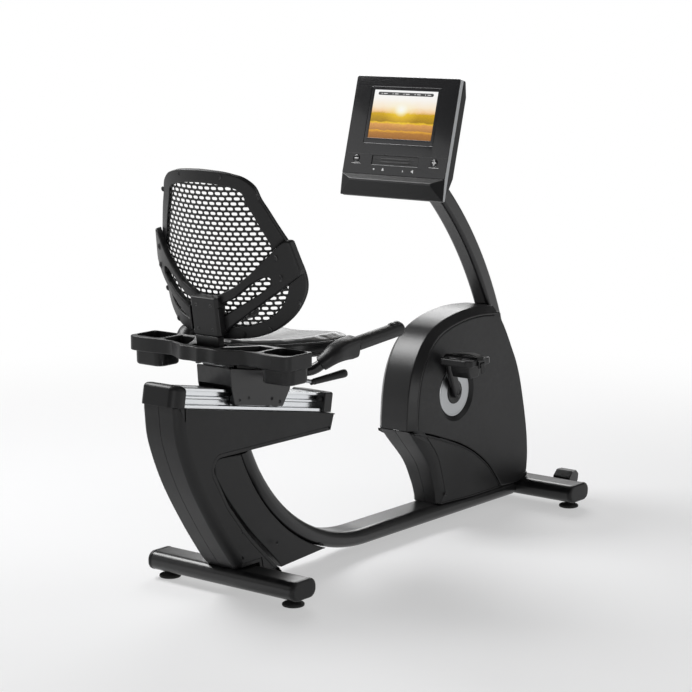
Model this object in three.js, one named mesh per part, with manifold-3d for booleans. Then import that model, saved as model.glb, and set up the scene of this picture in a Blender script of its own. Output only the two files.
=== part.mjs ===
// A recumbent exercise bike: a low flat-oval frame on two cross feet, a seat that slides on an
// inclined aluminium rail, a shrouded crank drive with a magnetic flywheel, and a tilting console.
// Millimetres. +X is the rider's forward direction, +Y the rider's left, +Z up. While it is built,
// x = 0 is the rear foot, y = 0 the centre plane and z = 0 the floor; the last lines move the
// origin to the bottom centre of the whole bike's box.
import * as THREE from "three";
import { mergeVertices } from "three/addons/utils/BufferGeometryUtils.js";
import Module from "manifold-3d";

const wasm = await Module();
wasm.setup();
const radians = THREE.MathUtils.degToRad;
const degrees = THREE.MathUtils.radToDeg;

// ---- driving dimensions ----
const gap = 0.4; // between pieces that touch
const running = 0.6; // radial, between a shaft and its bore
const sheet = 3; // wall of moulded covers

const footSpan = 1292; // rear foot to front foot
const rearFoot = { length: 500, depth: 92, height: 50, corner: 22, wall: 3 };
const frontFoot = { length: 496, depth: 100, height: 52, corner: 23, wall: 3 };
const footClearance = 22; // underside of both feet above the floor
const footCap = { thickness: 12, plug: 15 };
const leveler = { inset: 38, padRadius: 29, padHeight: 10, nutRadius: 10, studRadius: 6, studLength: 20 };
const wheel = { radius: 22, bore: 4.5, width: 48, y: 156, ahead: 24, height: 68, ear: 5, earReach: 12 };

const tube = { width: 102, height: 45, corner: 20, wall: 3, underside: 21.5 };
const bend = { x: 521, radius: 550 }; // where the straight ends, and the sweep up to the seat
const mast = {
  width: 56,
  depth: 51,
  corner: 12,
  wall: 3,
  radius: 1096,
  centreX: footSpan - 1139,
  centreZ: 159,
};
const mastEnd = radians(55.9); // how far round its sweep the mast reaches
const pivotBack = 19; // the console's pivot below the mast's end, along the mast

const railTilt = radians(10);
const railHeight = 483.3; // the cover's top edge above the rear foot
const rail = { from: -231, to: 317, half: 30, ledge: 50, ledgeTop: 9, flange: 42, channelTop: 42, top: 50 };
const railCap = { length: 44, half: 58, top: 55 };
const cover = { half: 60, underside: 375, frontEnd: 360, rearEnd: -256 };
const frameInset = 10; // steel rear frame inside its covers
const frameHalf = 22;
const fillerHalf = 46;

const carriage = { half: 57, plate: 3, from: -43, to: 147, bottom: 13, top: 104 };
const roller = { radius: 16, width: 12, behind: -25, ahead: 133, axle: 4 };
const lever = {
  x: 108,
  z: 556,
  shaft: 5,
  out: 165,
  reach: 24,
  gripLength: 118,
  gripRadius: 10,
  fingerPlay: 3.5,
};
const lockPin = { ahead: 21.5, stem: 6, head: 10, headHeight: 6 };

const seat = { rear: -46, rearHalf: 42, half: 200, front: 312, thickness: 48, round: 14 };
const panThickness = 8;
const tray = { rim: 654.5, skirt: 617, wall: 3, half: 268, front: 15, rear: -118, cupFloor: 578 };
const cup = { inner: 166, rear: -74, corner: 22 };
const post = { half: 38, rear: -45, front: -21, top: -14.4 };

const backTilt = radians(8.53);
const backFoot = { x: -38, z: 700 }; // where the back's centre line passes the cushion
const backCurve = 342; // radius of the back round the sitter
const backRim = { width: 34, thickness: 12 };
const backCloth = { behind: 4, thickness: 3 };
const bracket = { half: 48, top: 86, bottom: -14, thickness: 17 };

const bar = { radius: 14, y: 250, crossX: 76, gripStart: 200, gripEnd: 396, gripHeight: 646, slope: 0.087 };
const gripRadius = 19;
const sleeve = { from: 122, to: 198, half: 24, block: 30 };

const shroud = { half: 65, bevel: 20, wall: 3 };
const crank = {
  x: footSpan - 380,
  z: 391,
  reach: 130,
  angle: radians(122),
  axle: 10,
  hub: 17,
  eye: 13,
  thickness: 14,
};
const crankY = { boss: 51, arm: 58, splay: 16, outer: 72 };
const disc = { radius: 71, thickness: 3, face: 57 };
const recess = { rim: 84, floor: 73, bore: 30 };
const pedal = { length: 112, width: 103, thickness: 24, y: 92, spindle: 6, weight: 34, drop: 47 };

const pulley = { radius: 110, from: 18, width: 12 };
const smallPulley = 20;
const belt = 3;
const flywheel = { x: footSpan - 207, z: 215, radius: 125, from: -22, width: 26, axle: 8 };
const brake = { air: 6, depth: 14, pivot: radians(48), end: radians(116), pin: 5 };
const driveFrame = { plate: 4, right: -40, left: 40, shell: 24 };

const panel = {
  x: footSpan - 568,
  z: 1159,
  tilt: radians(15.1),
  half: 177,
  up: 138,
  chin: 62,
  ridge: 11,
  lens: 3,
};
const housing = { back: 44, ear: 6, pin: 6 };
const button = { radius: 10, y: 134, up: -96, proud: 1, flange: 12 };

// ---- finishes ----
const finish = (color, roughness, metalness) =>
  new THREE.MeshStandardMaterial({ color, roughness, metalness });
const paint = finish(0x18191b, 0.38, 0.2);
const plastic = finish(0x222326, 0.55, 0);
const panelPlastic = finish(0x2a2b2e, 0.5, 0);
const rubber = finish(0x101011, 0.85, 0);
const aluminium = finish(0xc9cccf, 0.3, 1);
const chrome = finish(0xdadcde, 0.12, 1);
const steel = finish(0x8d9094, 0.35, 1);
const glossBlack = finish(0x0b0b0d, 0.12, 0);
const vinyl = finish(0x1c1c1e, 0.45, 0);
const meshCloth = finish(0x161617, 0.7, 0);

// ---- solids: three.js shapes the pieces, manifold-3d joins and cuts them ----
function toSolid(geometry) {
  const bare = geometry.clone();
  bare.deleteAttribute("normal");
  bare.deleteAttribute("uv");
  const merged = mergeVertices(bare, 1e-3);
  const corners = merged.index.array;
  const kept = [];
  for (let i = 0; i < corners.length; i += 3) {
    const [a, b, c] = corners.slice(i, i + 3);
    if (a !== b && b !== c && c !== a) kept.push(a, b, c);
  }
  const vertProperties = merged.attributes.position.array;
  return new wasm.Manifold(new wasm.Mesh({ numProp: 3, vertProperties, triVerts: new Uint32Array(kept) }));
}

function toGeometry(solid) {
  const { vertProperties, triVerts } = solid.getMesh();
  const geometry = new THREE.BufferGeometry();
  geometry.setAttribute("position", new THREE.BufferAttribute(vertProperties, 3));
  geometry.setIndex(new THREE.BufferAttribute(triVerts, 1));
  geometry.computeVertexNormals();
  return geometry;
}

const join = (first, ...others) => others.reduce((all, one) => all.add(one), first);
const cut = (first, ...others) => others.reduce((all, one) => all.subtract(one), first);
const mirrorY = (solid) => solid.mirror([0, 1, 0]);

const bike = new THREE.Group();
function place(name, solid, material, parent = bike) {
  const mesh = new THREE.Mesh(toGeometry(solid), material);
  mesh.name = name;
  parent.add(mesh);
  return mesh;
}
const sides = [["left", 1], ["right", -1]];
// A piece drawn on the left, placed on both sides.
function placePair(name, solid, material, parent = bike) {
  place(`${name}_left`, solid, material, parent);
  place(`${name}_right`, mirrorY(solid), material, parent);
}

// ---- outlines and basic forms ----
const outlineOf = (points) => new THREE.Shape(points.map(([x, y]) => new THREE.Vector2(x, y)));
const asShape = (outline) => (outline instanceof THREE.Shape ? outline : outlineOf(outline));

function roundedRectangle(width, height, corner) {
  const [w, h] = [width / 2, height / 2];
  const shape = new THREE.Shape();
  shape.absarc(w - corner, h - corner, corner, 0, Math.PI / 2);
  shape.absarc(corner - w, h - corner, corner, Math.PI / 2, Math.PI);
  shape.absarc(corner - w, corner - h, corner, Math.PI, 1.5 * Math.PI);
  shape.absarc(w - corner, corner - h, corner, 1.5 * Math.PI, 2 * Math.PI);
  return shape;
}

function hollow(outer, inner) {
  outer.holes.push(inner);
  return outer;
}

// A smooth line through points, as [x, y] pairs.
function smooth(points, steps) {
  const line = new THREE.SplineCurve(points.map(([x, y]) => new THREE.Vector2(x, y)));
  return line.getPoints(steps).map((p) => [p.x, p.y]);
}

function arc(cx, cy, radius, from, to, steps) {
  const at = (i) => from + ((to - from) * i) / steps;
  const point = (angle) => [cx + radius * Math.cos(angle), cy + radius * Math.sin(angle)];
  return Array.from({ length: steps + 1 }, (_, i) => point(at(i)));
}

// The outline moved inwards by a distance, corner by corner.
function inset(points, distance) {
  const turn = THREE.ShapeUtils.area(points.map(([x, y]) => ({ x, y }))) > 0 ? 1 : -1;
  return points.map(([x, y], i) => {
    const [px, py] = points[(i + points.length - 1) % points.length];
    const [nx, ny] = points[(i + 1) % points.length];
    const before = new THREE.Vector2(y - py, px - x).normalize();
    const after = new THREE.Vector2(ny - y, x - nx).normalize();
    const inward = before.clone().add(after).normalize().multiplyScalar(-turn);
    const reach = distance / Math.max(0.4, Math.abs(inward.dot(before)));
    return [x + inward.x * reach, y + inward.y * reach];
  });
}

const extruded = (outline, depth, round, roundSteps, curveSegments) =>
  new THREE.ExtrudeGeometry(asShape(outline), {
    depth: depth - 2 * round,
    curveSegments,
    bevelEnabled: round > 0,
    bevelThickness: round,
    bevelSize: round,
    bevelOffset: -round,
    bevelSegments: roundSteps,
  }).translate(0, 0, round);

// An outline in x and z, carried from yLow to yHigh, with its two edges rounded if asked.
function plate(outline, yLow, yHigh, { round = 0, roundSteps = 2, curveSegments = 3 } = {}) {
  const geometry = extruded(outline, yHigh - yLow, round, roundSteps, curveSegments);
  return toSolid(geometry.rotateX(Math.PI / 2).translate(0, yHigh, 0));
}

// An outline in x and y, carried from zLow to zHigh.
function slab(outline, zLow, zHigh, { round = 0, roundSteps = 2, curveSegments = 4 } = {}) {
  return toSolid(extruded(outline, zHigh - zLow, round, roundSteps, curveSegments).translate(0, 0, zLow));
}

// An outline in y and z, carried from xLow to xHigh.
function prism(outline, xLow, xHigh, { round = 0, roundSteps = 2, curveSegments = 4 } = {}) {
  const geometry = extruded(outline, xHigh - xLow, round, roundSteps, curveSegments);
  return toSolid(geometry.rotateX(Math.PI / 2).rotateZ(Math.PI / 2).translate(xLow, 0, 0));
}

function block(xLow, xHigh, yLow, yHigh, zLow, zHigh) {
  const geometry = new THREE.BoxGeometry(xHigh - xLow, yHigh - yLow, zHigh - zLow);
  return toSolid(geometry.translate((xLow + xHigh) / 2, (yLow + yHigh) / 2, (zLow + zHigh) / 2));
}

// A round bar between two points, which may taper.
function rod(start, end, radius, endRadius = radius, facets = 16) {
  const [a, b] = [new THREE.Vector3(...start), new THREE.Vector3(...end)];
  const axis = b.clone().sub(a);
  const geometry = new THREE.CylinderGeometry(endRadius, radius, axis.length(), facets);
  const upright = new THREE.Vector3(0, 1, 0);
  const turn = new THREE.Quaternion().setFromUnitVectors(upright, axis.clone().normalize());
  return toSolid(geometry.applyQuaternion(turn).translate(...a.add(b).multiplyScalar(0.5)));
}
const crossRod = (x, z, yLow, yHigh, radius, facets = 20) =>
  rod([x, yLow, z], [x, yHigh, z], radius, radius, facets);

// A profile of [radius, height] pairs, up the outside, turned about +Z or about +Y.
const lathe = (profile, facets) =>
  new THREE.LatheGeometry(profile.map(([r, h]) => new THREE.Vector2(r, h)), facets);
const turnedUp = (profile, facets = 14) => toSolid(lathe(profile, facets).rotateX(Math.PI / 2));
const turnedAcross = (profile, x, z, facets = 24) => toSolid(lathe(profile, facets).translate(x, 0, z));

// A ring between two radii, from yLow to yHigh.
const ringAcross = (bore, radius, yLow, yHigh, x, z, facets) =>
  turnedAcross([[bore, yLow], [radius, yLow], [radius, yHigh], [bore, yHigh], [bore, yLow]], x, z, facets);

// A section carried along a line of points.
function sweep(section, points, steps, curveSegments = 3) {
  const path = new THREE.CatmullRomCurve3(points.map((p) => new THREE.Vector3(...p)), false, "centripetal");
  return toSolid(new THREE.ExtrudeGeometry(section, { steps, curveSegments, extrudePath: path }));
}

// Places given along the rail and square to it.
const alongRail = (s, n) => [
  s * Math.cos(railTilt) + n * Math.sin(railTilt),
  railHeight - s * Math.sin(railTilt) + n * Math.cos(railTilt),
];
const onRail = (solid) => solid.rotate([0, degrees(railTilt), 0]).translate([0, 0, railHeight]);
// How far along the rail, and how high off it, a place in x and z is.
const railPlace = (x, z) => [
  x * Math.cos(railTilt) - (z - railHeight) * Math.sin(railTilt),
  x * Math.sin(railTilt) + (z - railHeight) * Math.cos(railTilt),
];
// The height, at some x, of a plane that lies n above the rail.
const aboveRail = (x, n) => railHeight + (n - x * Math.sin(railTilt)) / Math.cos(railTilt);

// ---- cross feet, their caps, levelling feet and transport wheels ----
const footSection = (foot, trim = 0) =>
  roundedRectangle(foot.depth - 2 * trim, foot.height - 2 * trim, foot.corner - trim);
const footCentre = (foot) => footClearance + foot.height / 2;
const levelerY = (foot) => foot.length / 2 - leveler.inset;

function crossFoot(foot, x) {
  const half = foot.length / 2 - footCap.thickness - gap;
  const body = plate(hollow(footSection(foot), footSection(foot, foot.wall)), -half, half);
  const hole = (y) =>
    rod([0, y, -foot.height / 2 - 1], [0, y, foot.wall + 1 - foot.height / 2], leveler.studRadius + running);
  return cut(body, hole(levelerY(foot)), hole(-levelerY(foot))).translate([x, 0, footCentre(foot)]);
}

function capOf(foot, x) {
  const inner = foot.length / 2 - footCap.thickness;
  const lid = plate(footSection(foot), inner, foot.length / 2);
  const plug = plate(footSection(foot, foot.wall + gap), inner - footCap.plug, inner + 1);
  return join(lid, plug).translate([x, 0, footCentre(foot)]);
}

function levellingFoot(foot, x) {
  const { padRadius, padHeight, nutRadius, studRadius, studLength } = leveler;
  const top = footClearance - gap;
  const profile = [
    [0, 0],
    [padRadius - 2, 0],
    [padRadius, 2],
    [padRadius, padHeight - 3],
    [padRadius - 5, padHeight],
    [nutRadius, padHeight],
    [nutRadius, top],
    [studRadius, top],
    [studRadius, top + studLength],
    [0, top + studLength],
  ];
  return turnedUp(profile).translate([x, levelerY(foot), 0]);
}

const footFront = footSpan + frontFoot.depth / 2;
const wheelX = footFront + wheel.ahead;

function wheelBracket() {
  const root = footFront - 2 * frontFoot.wall;
  const middle = footCentre(frontFoot);
  const ear = (y) =>
    plate(
      [
        [root, middle - 10],
        [wheelX + 2, wheel.height - wheel.earReach],
        [wheelX + wheel.earReach, wheel.height],
        [wheelX, wheel.height + wheel.earReach],
        [root, middle + 14],
      ],
      y,
      y + wheel.ear,
    );
  const low = wheel.y - wheel.width / 2 - gap - wheel.ear;
  const high = wheel.y + wheel.width / 2 + gap;
  const axle = crossRod(wheelX, wheel.height, low + 1, high + 1, wheel.bore - running, 12);
  return join(ear(low), ear(high), axle);
}

function transportWheel() {
  const [low, high] = [wheel.y - wheel.width / 2, wheel.y + wheel.width / 2];
  const profile = [
    [wheel.bore, low],
    [wheel.radius - 3, low],
    [wheel.radius, low + 3],
    [wheel.radius, high - 3],
    [wheel.radius - 3, high],
    [wheel.bore, high],
    [wheel.bore, low],
  ];
  return turnedAcross(profile, wheelX, wheel.height, 18);
}

place("rear_foot", crossFoot(rearFoot, 0), paint);
const bracketLeft = wheelBracket();
place("front_foot", join(crossFoot(frontFoot, footSpan), bracketLeft, mirrorY(bracketLeft)), paint);
placePair("rear_foot_cap", capOf(rearFoot, 0), plastic);
placePair("front_foot_cap", capOf(frontFoot, footSpan), plastic);
placePair("leveler_rear", levellingFoot(rearFoot, 0), rubber);
placePair("leveler_front", levellingFoot(frontFoot, footSpan), rubber);
placePair("transport_wheel", transportWheel(), rubber);

// ---- main tube and mast ----
const tubeCentre = tube.underside + tube.height / 2;
const tubeTop = tube.underside + tube.height;
const bendZ = tubeCentre + bend.radius;
const frameUnderside = cover.underside + frameInset;
const tubeFront = footSpan - frontFoot.depth / 2 - gap;
const footTop = footClearance + frontFoot.height;

function mainTube() {
  const section = hollow(
    roundedRectangle(tube.height, tube.width, tube.corner),
    roundedRectangle(tube.height - 2 * tube.wall, tube.width - 2 * tube.wall, tube.corner - tube.wall),
  );
  const pieces = 12;
  const straight = Array.from({ length: pieces }, (_, i) => [
    tubeFront + ((bend.x - tubeFront) * i) / pieces,
    tubeCentre,
  ]);
  const rise = arc(bend.x, bendZ, bend.radius, 1.5 * Math.PI, 1.1 * Math.PI, pieces);
  const whole = sweep(section, [...straight, ...rise].map(([x, z]) => [x, 0, z]), 18, 2);
  return cut(whole, block(-300, 300, -100, 100, frameUnderside - gap, 700));
}

const mastPoint = (angle, radius = mast.radius) => [
  mast.centreX + radius * Math.cos(angle),
  mast.centreZ + radius * Math.sin(angle),
];
const consolePivot = mastPoint(mastEnd - pivotBack / mast.radius);

function mastTube() {
  const section = hollow(
    roundedRectangle(mast.width, mast.depth, mast.corner),
    roundedRectangle(mast.width - 2 * mast.wall, mast.depth - 2 * mast.wall, mast.corner - mast.wall),
  );
  const line = arc(mast.centreX, mast.centreZ, mast.radius, radians(-7), mastEnd, 16);
  const whole = sweep(section, line.map(([x, z]) => [x, 0, z]), 15, 1);
  const overTube = block(mast.centreX, tubeFront + 1, -100, 100, -200, tubeTop + gap);
  const overFoot = block(tubeFront, footFront, -100, 100, -200, footTop + gap);
  const pinHole = crossRod(...consolePivot, -mast.width, mast.width, housing.pin + running, 14);
  return cut(whole, overTube, overFoot, pinHole);
}

place("main_tube", mainTube(), paint);
place("mast", mastTube(), paint);

// ---- rear leg and seat beam: steel inside, moulded halves and filler outside ----
const rearFootTop = footClearance + rearFoot.height;
const coverFoot = rearFootTop + 1;
const coverOutline = [
  ...smooth(
    [alongRail(cover.rearEnd, 0), [-250, 505], [-227, 430], [-176, 318], [-104, 200], [-34, 100]],
    12,
  ),
  [-14, coverFoot],
  [rearFoot.depth / 2 + 4, coverFoot],
  [rearFoot.depth / 2 + 6, 44],
  [140, 34],
  ...smooth([[130, 44], [88, 83], [10, 159], [-66, 250], [-120, 325], [-132, 352]], 8),
  [-126, 368],
  [-104, cover.underside],
  [345, cover.underside],
  alongRail(cover.frontEnd, 0),
];

// x of the main tube's lower face (side 1) or upper face (side -1) where its bend passes height z
function tubeFace(side, z) {
  const radius = bend.radius + (side * tube.height) / 2;
  return bend.x - Math.sqrt(radius ** 2 - (bendZ - z) ** 2);
}

function coverHalf() {
  const outer = plate(coverOutline, -cover.half, cover.half);
  const inner = plate(inset(coverOutline, sheet), sheet - cover.half, cover.half - sheet);
  const half = cut(outer, inner).intersect(block(-400, 500, gap / 2, 200, 0, 700));
  const legOpening = block(-12, 46, -1, frameHalf + 3, coverFoot - 10, coverFoot + 12);
  const openFrom = tubeFace(1, frameUnderside) - 9;
  const openTo = tubeFace(-1, cover.underside) + 3;
  const openHalf = tube.width / 2 + 1;
  const tubeOpening = block(openFrom, openTo, -1, openHalf, cover.underside - 8, frameUnderside + 4);
  const railOpening = onRail(block(rail.from - 4, rail.to + 4, -1, rail.half + 2, -8, 8));
  return cut(half, legOpening, tubeOpening, railOpening);
}

function rearFrame() {
  const footFront = rearFoot.depth / 2 - 4;
  const outline = [
    [footFront, coverFoot + 11],
    [-2, coverFoot + 11],
    [-94, 204],
    [-165, 320],
    [-216, 432],
    alongRail(cover.rearEnd + frameInset, -frameInset),
    alongRail(cover.frontEnd - frameInset, -frameInset),
    [345 - frameInset, frameUnderside],
    [-122, frameUnderside],
    [-150, 354],
    [-129, 320],
    [-75, 243],
    [footFront, 108],
  ];
  const body = plate(outline, -frameHalf, frameHalf);
  const core = plate(inset(outline, tube.wall), tube.wall - frameHalf, frameHalf - tube.wall);
  const endOpening = block(300, 400, -12, 12, frameUnderside + 5, 425);
  const foot = block(-8, 42, -frameHalf, frameHalf, rearFootTop + gap, coverFoot + 20);
  const clearOfFoot = block(-200, 200, -40, 40, 0, rearFootTop + gap);
  const clearOfTip = block(rearFoot.depth / 2 - 2, 200, -40, 40, 0, coverFoot + 22);
  return cut(join(cut(body, core), foot), endOpening, clearOfFoot, clearOfTip);
}

function rearFiller() {
  const under = bend.radius + tube.height / 2 + 4 * gap;
  const [low, high] = [1.5 * Math.PI - 0.325, 1.5 * Math.PI - 1.17];
  const tubeSide = arc(bend.x, bendZ, under, low, high, 10);
  const leg = smooth([[-118, 352], [-106, 322], [-54, 254], [22, 166], [99, 92], [142, 50]], 8);
  const outline = [...tubeSide, [-90, cover.underside - 1], [-112, 366], ...leg, [152, 38]];
  const body = plate(outline, -fillerHalf, fillerHalf);
  const inside = plate(inset(outline, sheet), sheet - fillerHalf, fillerHalf - sheet);
  const band = [...arc(bend.x, bendZ, under - 10, low - 0.1, high + 0.08, 8),
    ...arc(bend.x, bendZ, under + 10, high + 0.08, low - 0.1, 8)];
  return cut(body, inside, plate(band, sheet - fillerHalf, fillerHalf - sheet));
}

place("rear_frame", rearFrame(), paint);
placePair("rear_cover", coverHalf(), panelPlastic);
place("rear_filler", rearFiller(), plastic);

// ---- seat rail and its end caps ----
function seatRail() {
  const half = [
    [rail.half, gap - frameInset],
    [rail.half, gap],
    [rail.ledge, gap],
    [rail.ledge, rail.ledgeTop],
    [rail.half, rail.ledgeTop],
    [rail.half, 24],
    [rail.half + 4, 25],
    [rail.half + 4, 29],
    [rail.half, 30],
    [rail.half, rail.channelTop],
    [rail.flange, rail.channelTop + 1],
    [rail.flange, rail.top],
  ];
  const section = outlineOf([...half, ...half.map(([y, z]) => [-y, z]).reverse()]);
  section.holes.push(outlineOf([[-24, 3], [24, 3], [24, 38], [-24, 38]]));
  return onRail(prism(section, rail.from, rail.to));
}

function railEndCap(near, far) {
  const inward = Math.sign(near - far);
  const [low, high] = [Math.min(near, far), Math.max(near, far)];
  const corner = 8;
  const outline = [
    [low, gap],
    [high, gap],
    [high, railCap.top - corner],
    [high - corner, railCap.top],
    [low + corner, railCap.top],
    [low, railCap.top - corner],
  ];
  const bumper = (y) => rod([near - 4 * inward, y, 34], [near + 10 * inward, y, 34], 6, 6, 10);
  return onRail(join(plate(outline, -railCap.half, railCap.half), bumper(rail.flange), bumper(-rail.flange)));
}

place("seat_rail", seatRail(), aluminium);
place("rail_cap_rear", railEndCap(rail.from - gap, rail.from - gap - railCap.length), plastic);
place("rail_cap_front", railEndCap(rail.to + gap, rail.to + gap + railCap.length), plastic);

// ---- carriage, its rollers, the lock and its lever ----
const rollerHeight = (rail.ledgeTop + rail.channelTop) / 2;
const rollerInner = rail.half + 6;
const [leverS, leverN] = railPlace(lever.x, lever.z);
const lockS = leverS + lockPin.ahead;
const lockHead = leverN - 4.5; // underside of the lock pin's head

function carriageBody() {
  const { half, plate: thickness, from, to, bottom, top } = carriage;
  const side = [
    [from, bottom],
    [to, bottom],
    [to + 21, 58],
    [to + 26, top],
    [from - 32, top],
    [from - 20, 58],
  ];
  const inside = block(from - 60, to + 60, thickness - half, half - thickness, 0, top - thickness);
  const wallOutline = [[from - 21, 60], [from - 18, 60], [from - 28, top - 1], [from - 31, top - 1]];
  const rearWall = plate(wallOutline, 1 - half, half - 1);
  const guide = block(lockS - 10, lockS + 10, 1 - half, half - 1, 62, 70);
  const body = join(cut(plate(side, -half, half), inside), rearWall, guide);
  const axle = (s) => {
    const one = crossRod(s, rollerHeight, rollerInner + 1, half - 1, roller.axle, 12);
    return join(one, mirrorY(one));
  };
  const guideHole = rod([lockS, 0, 50], [lockS, 0, 80], lockPin.stem + running);
  const shaftHole = crossRod(leverS, leverN, -half - 1, half + 1, lever.shaft + running, 14);
  return onRail(cut(join(body, axle(roller.behind), axle(roller.ahead)), guideHole, shaftHole));
}

const rollerAt = (s) =>
  onRail(
    ringAcross(
      roller.axle + running,
      roller.radius,
      rollerInner,
      rollerInner + roller.width,
      s,
      rollerHeight,
      20,
    ),
  );

function leverBody() {
  const { out, shaft, reach, gripLength, gripRadius, fingerPlay } = lever;
  const corner = [leverS, -out, leverN];
  const elbow = [leverS + reach, -out - 6, leverN - 1];
  const tip = [leverS + reach + gripLength - 20, -out - 32, leverN + 28];
  const across = rod([leverS, carriage.half - 6, leverN], corner, shaft, shaft, 12);
  const bendRod = rod([leverS - 2, -out + 3, leverN], elbow, shaft, shaft, 12);
  const grip = rod(elbow, tip, gripRadius - 2, gripRadius + 1, 14);
  const finger = block(leverS, lockS - lockPin.stem - fingerPlay, -6, 6, leverN - 10, lockHead - 1.5);
  const knuckle = block(leverS - 4, leverS + 4, -6, 6, leverN - 10, leverN);
  return onRail(join(across, bendRod, grip, finger, knuckle));
}

function lockPinBody() {
  const { stem, head, headHeight } = lockPin;
  const foot = rail.top + gap;
  const profile = [
    [0, foot],
    [head, foot],
    [head, foot + 4],
    [stem, foot + 5],
    [stem, lockHead],
    [head, lockHead],
    [head, lockHead + headHeight],
    [0, lockHead + headHeight],
  ];
  return onRail(turnedUp(profile, 14).translate([lockS, 0, 0]));
}

place("carriage", carriageBody(), paint);
placePair("roller_rear", rollerAt(roller.behind), plastic);
placePair("roller_front", rollerAt(roller.ahead), plastic);
place("lock_lever", leverBody(), plastic);
place("rail_lock", lockPinBody(), steel);

// ---- handlebar, its sleeves and grips ----
const crossZ = aboveRail(bar.crossX, carriage.top + gap + bar.radius);
const gripZ = (x) => bar.gripHeight + (x - bar.gripStart) * bar.slope;
const barSide = [
  [bar.crossX, 60, crossZ],
  [bar.crossX, 130, crossZ],
  [bar.crossX, 190, crossZ],
  [bar.crossX + 5, 222, crossZ + 10],
  [bar.crossX + 28, bar.y - 6, crossZ + 34],
  ...[150, 172, 185, 200, 260, 320, bar.gripEnd - 6].map((x) => [x, bar.y, gripZ(x)]),
];
const barLine = [...barSide.map(([x, y, z]) => [x, -y, z]).reverse(), ...barSide];
const circle = (radius) => new THREE.Shape().absarc(0, 0, radius, 0, 2 * Math.PI);
const barOf = (radius) => sweep(circle(radius), barLine, 48, 4);
const handlebar = barOf(bar.radius);
const barBore = barOf(bar.radius + running);

function gripOf() {
  const tip = [bar.gripEnd, bar.y, gripZ(bar.gripEnd)];
  const start = [bar.gripStart + gap, bar.y, gripZ(bar.gripStart + gap)];
  return cut(rod(start, tip, gripRadius, gripRadius, 16), barBore);
}

function sleeveOf() {
  const { from, to, half, block: drop } = sleeve;
  const outline = [
    [from, gripZ(from) - half + 2],
    [to - 48, gripZ(to) - half],
    [to - 44, gripZ(to) - drop],
    [to, gripZ(to) - drop],
    [to, gripZ(to) + half],
    [from, gripZ(from) + half],
  ];
  return cut(plate(outline, bar.y - half, bar.y + half, { round: 6 }), barBore);
}

place("handlebar", handlebar, paint);
placePair("grip", gripOf(), rubber);
placePair("handle_cover", sleeveOf(), plastic);

// ---- seat pan and cushion ----
const panBottom = crossZ + bar.radius + gap;
const seatBottom = panBottom + panThickness + gap;
const seatSide = [
  [seat.rear, 0],
  [seat.rear, seat.rearHalf],
  [20, 0.475 * seat.half],
  [107, 0.89 * seat.half],
  [200, seat.half],
  [270, 0.9 * seat.half],
  [seat.front - 8, 0.5 * seat.half],
  [seat.front, 0],
];

function seatOutline() {
  const side = smooth(seatSide.slice(1), 14);
  return [...side, ...side.slice(0, -1).map(([x, y]) => [x, -y]).reverse()];
}

function seatPan() {
  const [rear, front] = [seat.rear + 32, seat.front - 32];
  const outline = [
    [rear, -seat.rearHalf],
    [60, -90],
    [front, -110],
    [front, 110],
    [60, 90],
    [rear, seat.rearHalf],
  ];
  const top = slab(outline, panBottom, panBottom + panThickness);
  const [ribRear, ribFront] = [-12, 160];
  const rib = plate(
    [
      [ribRear, aboveRail(ribRear, carriage.top + gap)],
      [ribFront, aboveRail(ribFront, carriage.top + gap)],
      [ribFront, panBottom + 1],
      [ribRear, panBottom + 1],
    ],
    30,
    40,
  );
  return cut(join(top, rib, mirrorY(rib)), barBore);
}

place("seat_pan", seatPan(), paint);
const cushion = slab(seatOutline(), seatBottom, seatBottom + seat.thickness, { round: seat.round });
place("seat_cushion", cushion, vinyl);

// ---- tray with two cup wells and two wedge pockets ----
function trayOutline() {
  const side = [
    [tray.rear, 0],
    [tray.rear + 4, 60],
    [tray.rear + 36, 122],
    [tray.rear + 28, 190],
    [tray.rear + 32, tray.half - 18],
    [tray.rear + 50, tray.half],
    [tray.front - 10, tray.half],
    [tray.front, tray.half - 10],
    [tray.front, 104],
    [seat.rear - 4, seat.rearHalf + 9],
    [seat.rear - 6, 0],
  ];
  return [...side, ...side.slice(1, -1).map(([x, y]) => [x, -y]).reverse()];
}

function trayBody() {
  const outer = slab(trayOutline(), tray.skirt, tray.rim, { round: 1.5, roundSteps: 1 });
  const cupMiddle = [(cup.rear + tray.front - 4) / 2, (cup.inner + tray.half - 4) / 2];
  const cupSize = [tray.front - 4 - cup.rear, tray.half - 4 - cup.inner];
  const well = (trim, zLow, zHigh) =>
    slab(roundedRectangle(cupSize[0] - 2 * trim, cupSize[1] - 2 * trim, cup.corner - trim), zLow, zHigh)
      .translate([...cupMiddle, 0]);
  const cupWall = well(0, tray.cupFloor, tray.skirt + 2);
  const cupSpace = well(tray.wall, tray.cupFloor + tray.wall, tray.rim + 1);
  const wedge = slab(
    [[-6, 112], [-44, 82], [-100, 50], [-76, 118], [-66, 152], [-6, 152]],
    tray.skirt + tray.wall,
    tray.rim + 1,
  );
  const postSpace = block(-92, seat.rear, -post.half - 3, post.half + 3, tray.skirt - 1, tray.rim + 1);
  const legFoot = aboveRail(-58, carriage.top) + gap;
  const leg = block(-64, seat.rear - 6, post.half + 6, post.half + 16, legFoot, tray.skirt + 1);
  const both = (solid) => join(solid, mirrorY(solid));
  return cut(join(outer, both(cupWall), both(leg)), both(cupSpace), both(wedge), postSpace);
}

place("tray", trayBody(), plastic);

// ---- back: post, bracket, rim and mesh ----
const back = new THREE.Group();
back.position.set(backFoot.x, 0, backFoot.z);
back.rotation.y = -backTilt;
bike.add(back);
const onBack = (x, z) => [
  backFoot.x + x * Math.cos(backTilt) - z * Math.sin(backTilt),
  backFoot.z + x * Math.sin(backTilt) + z * Math.cos(backTilt),
];

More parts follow.
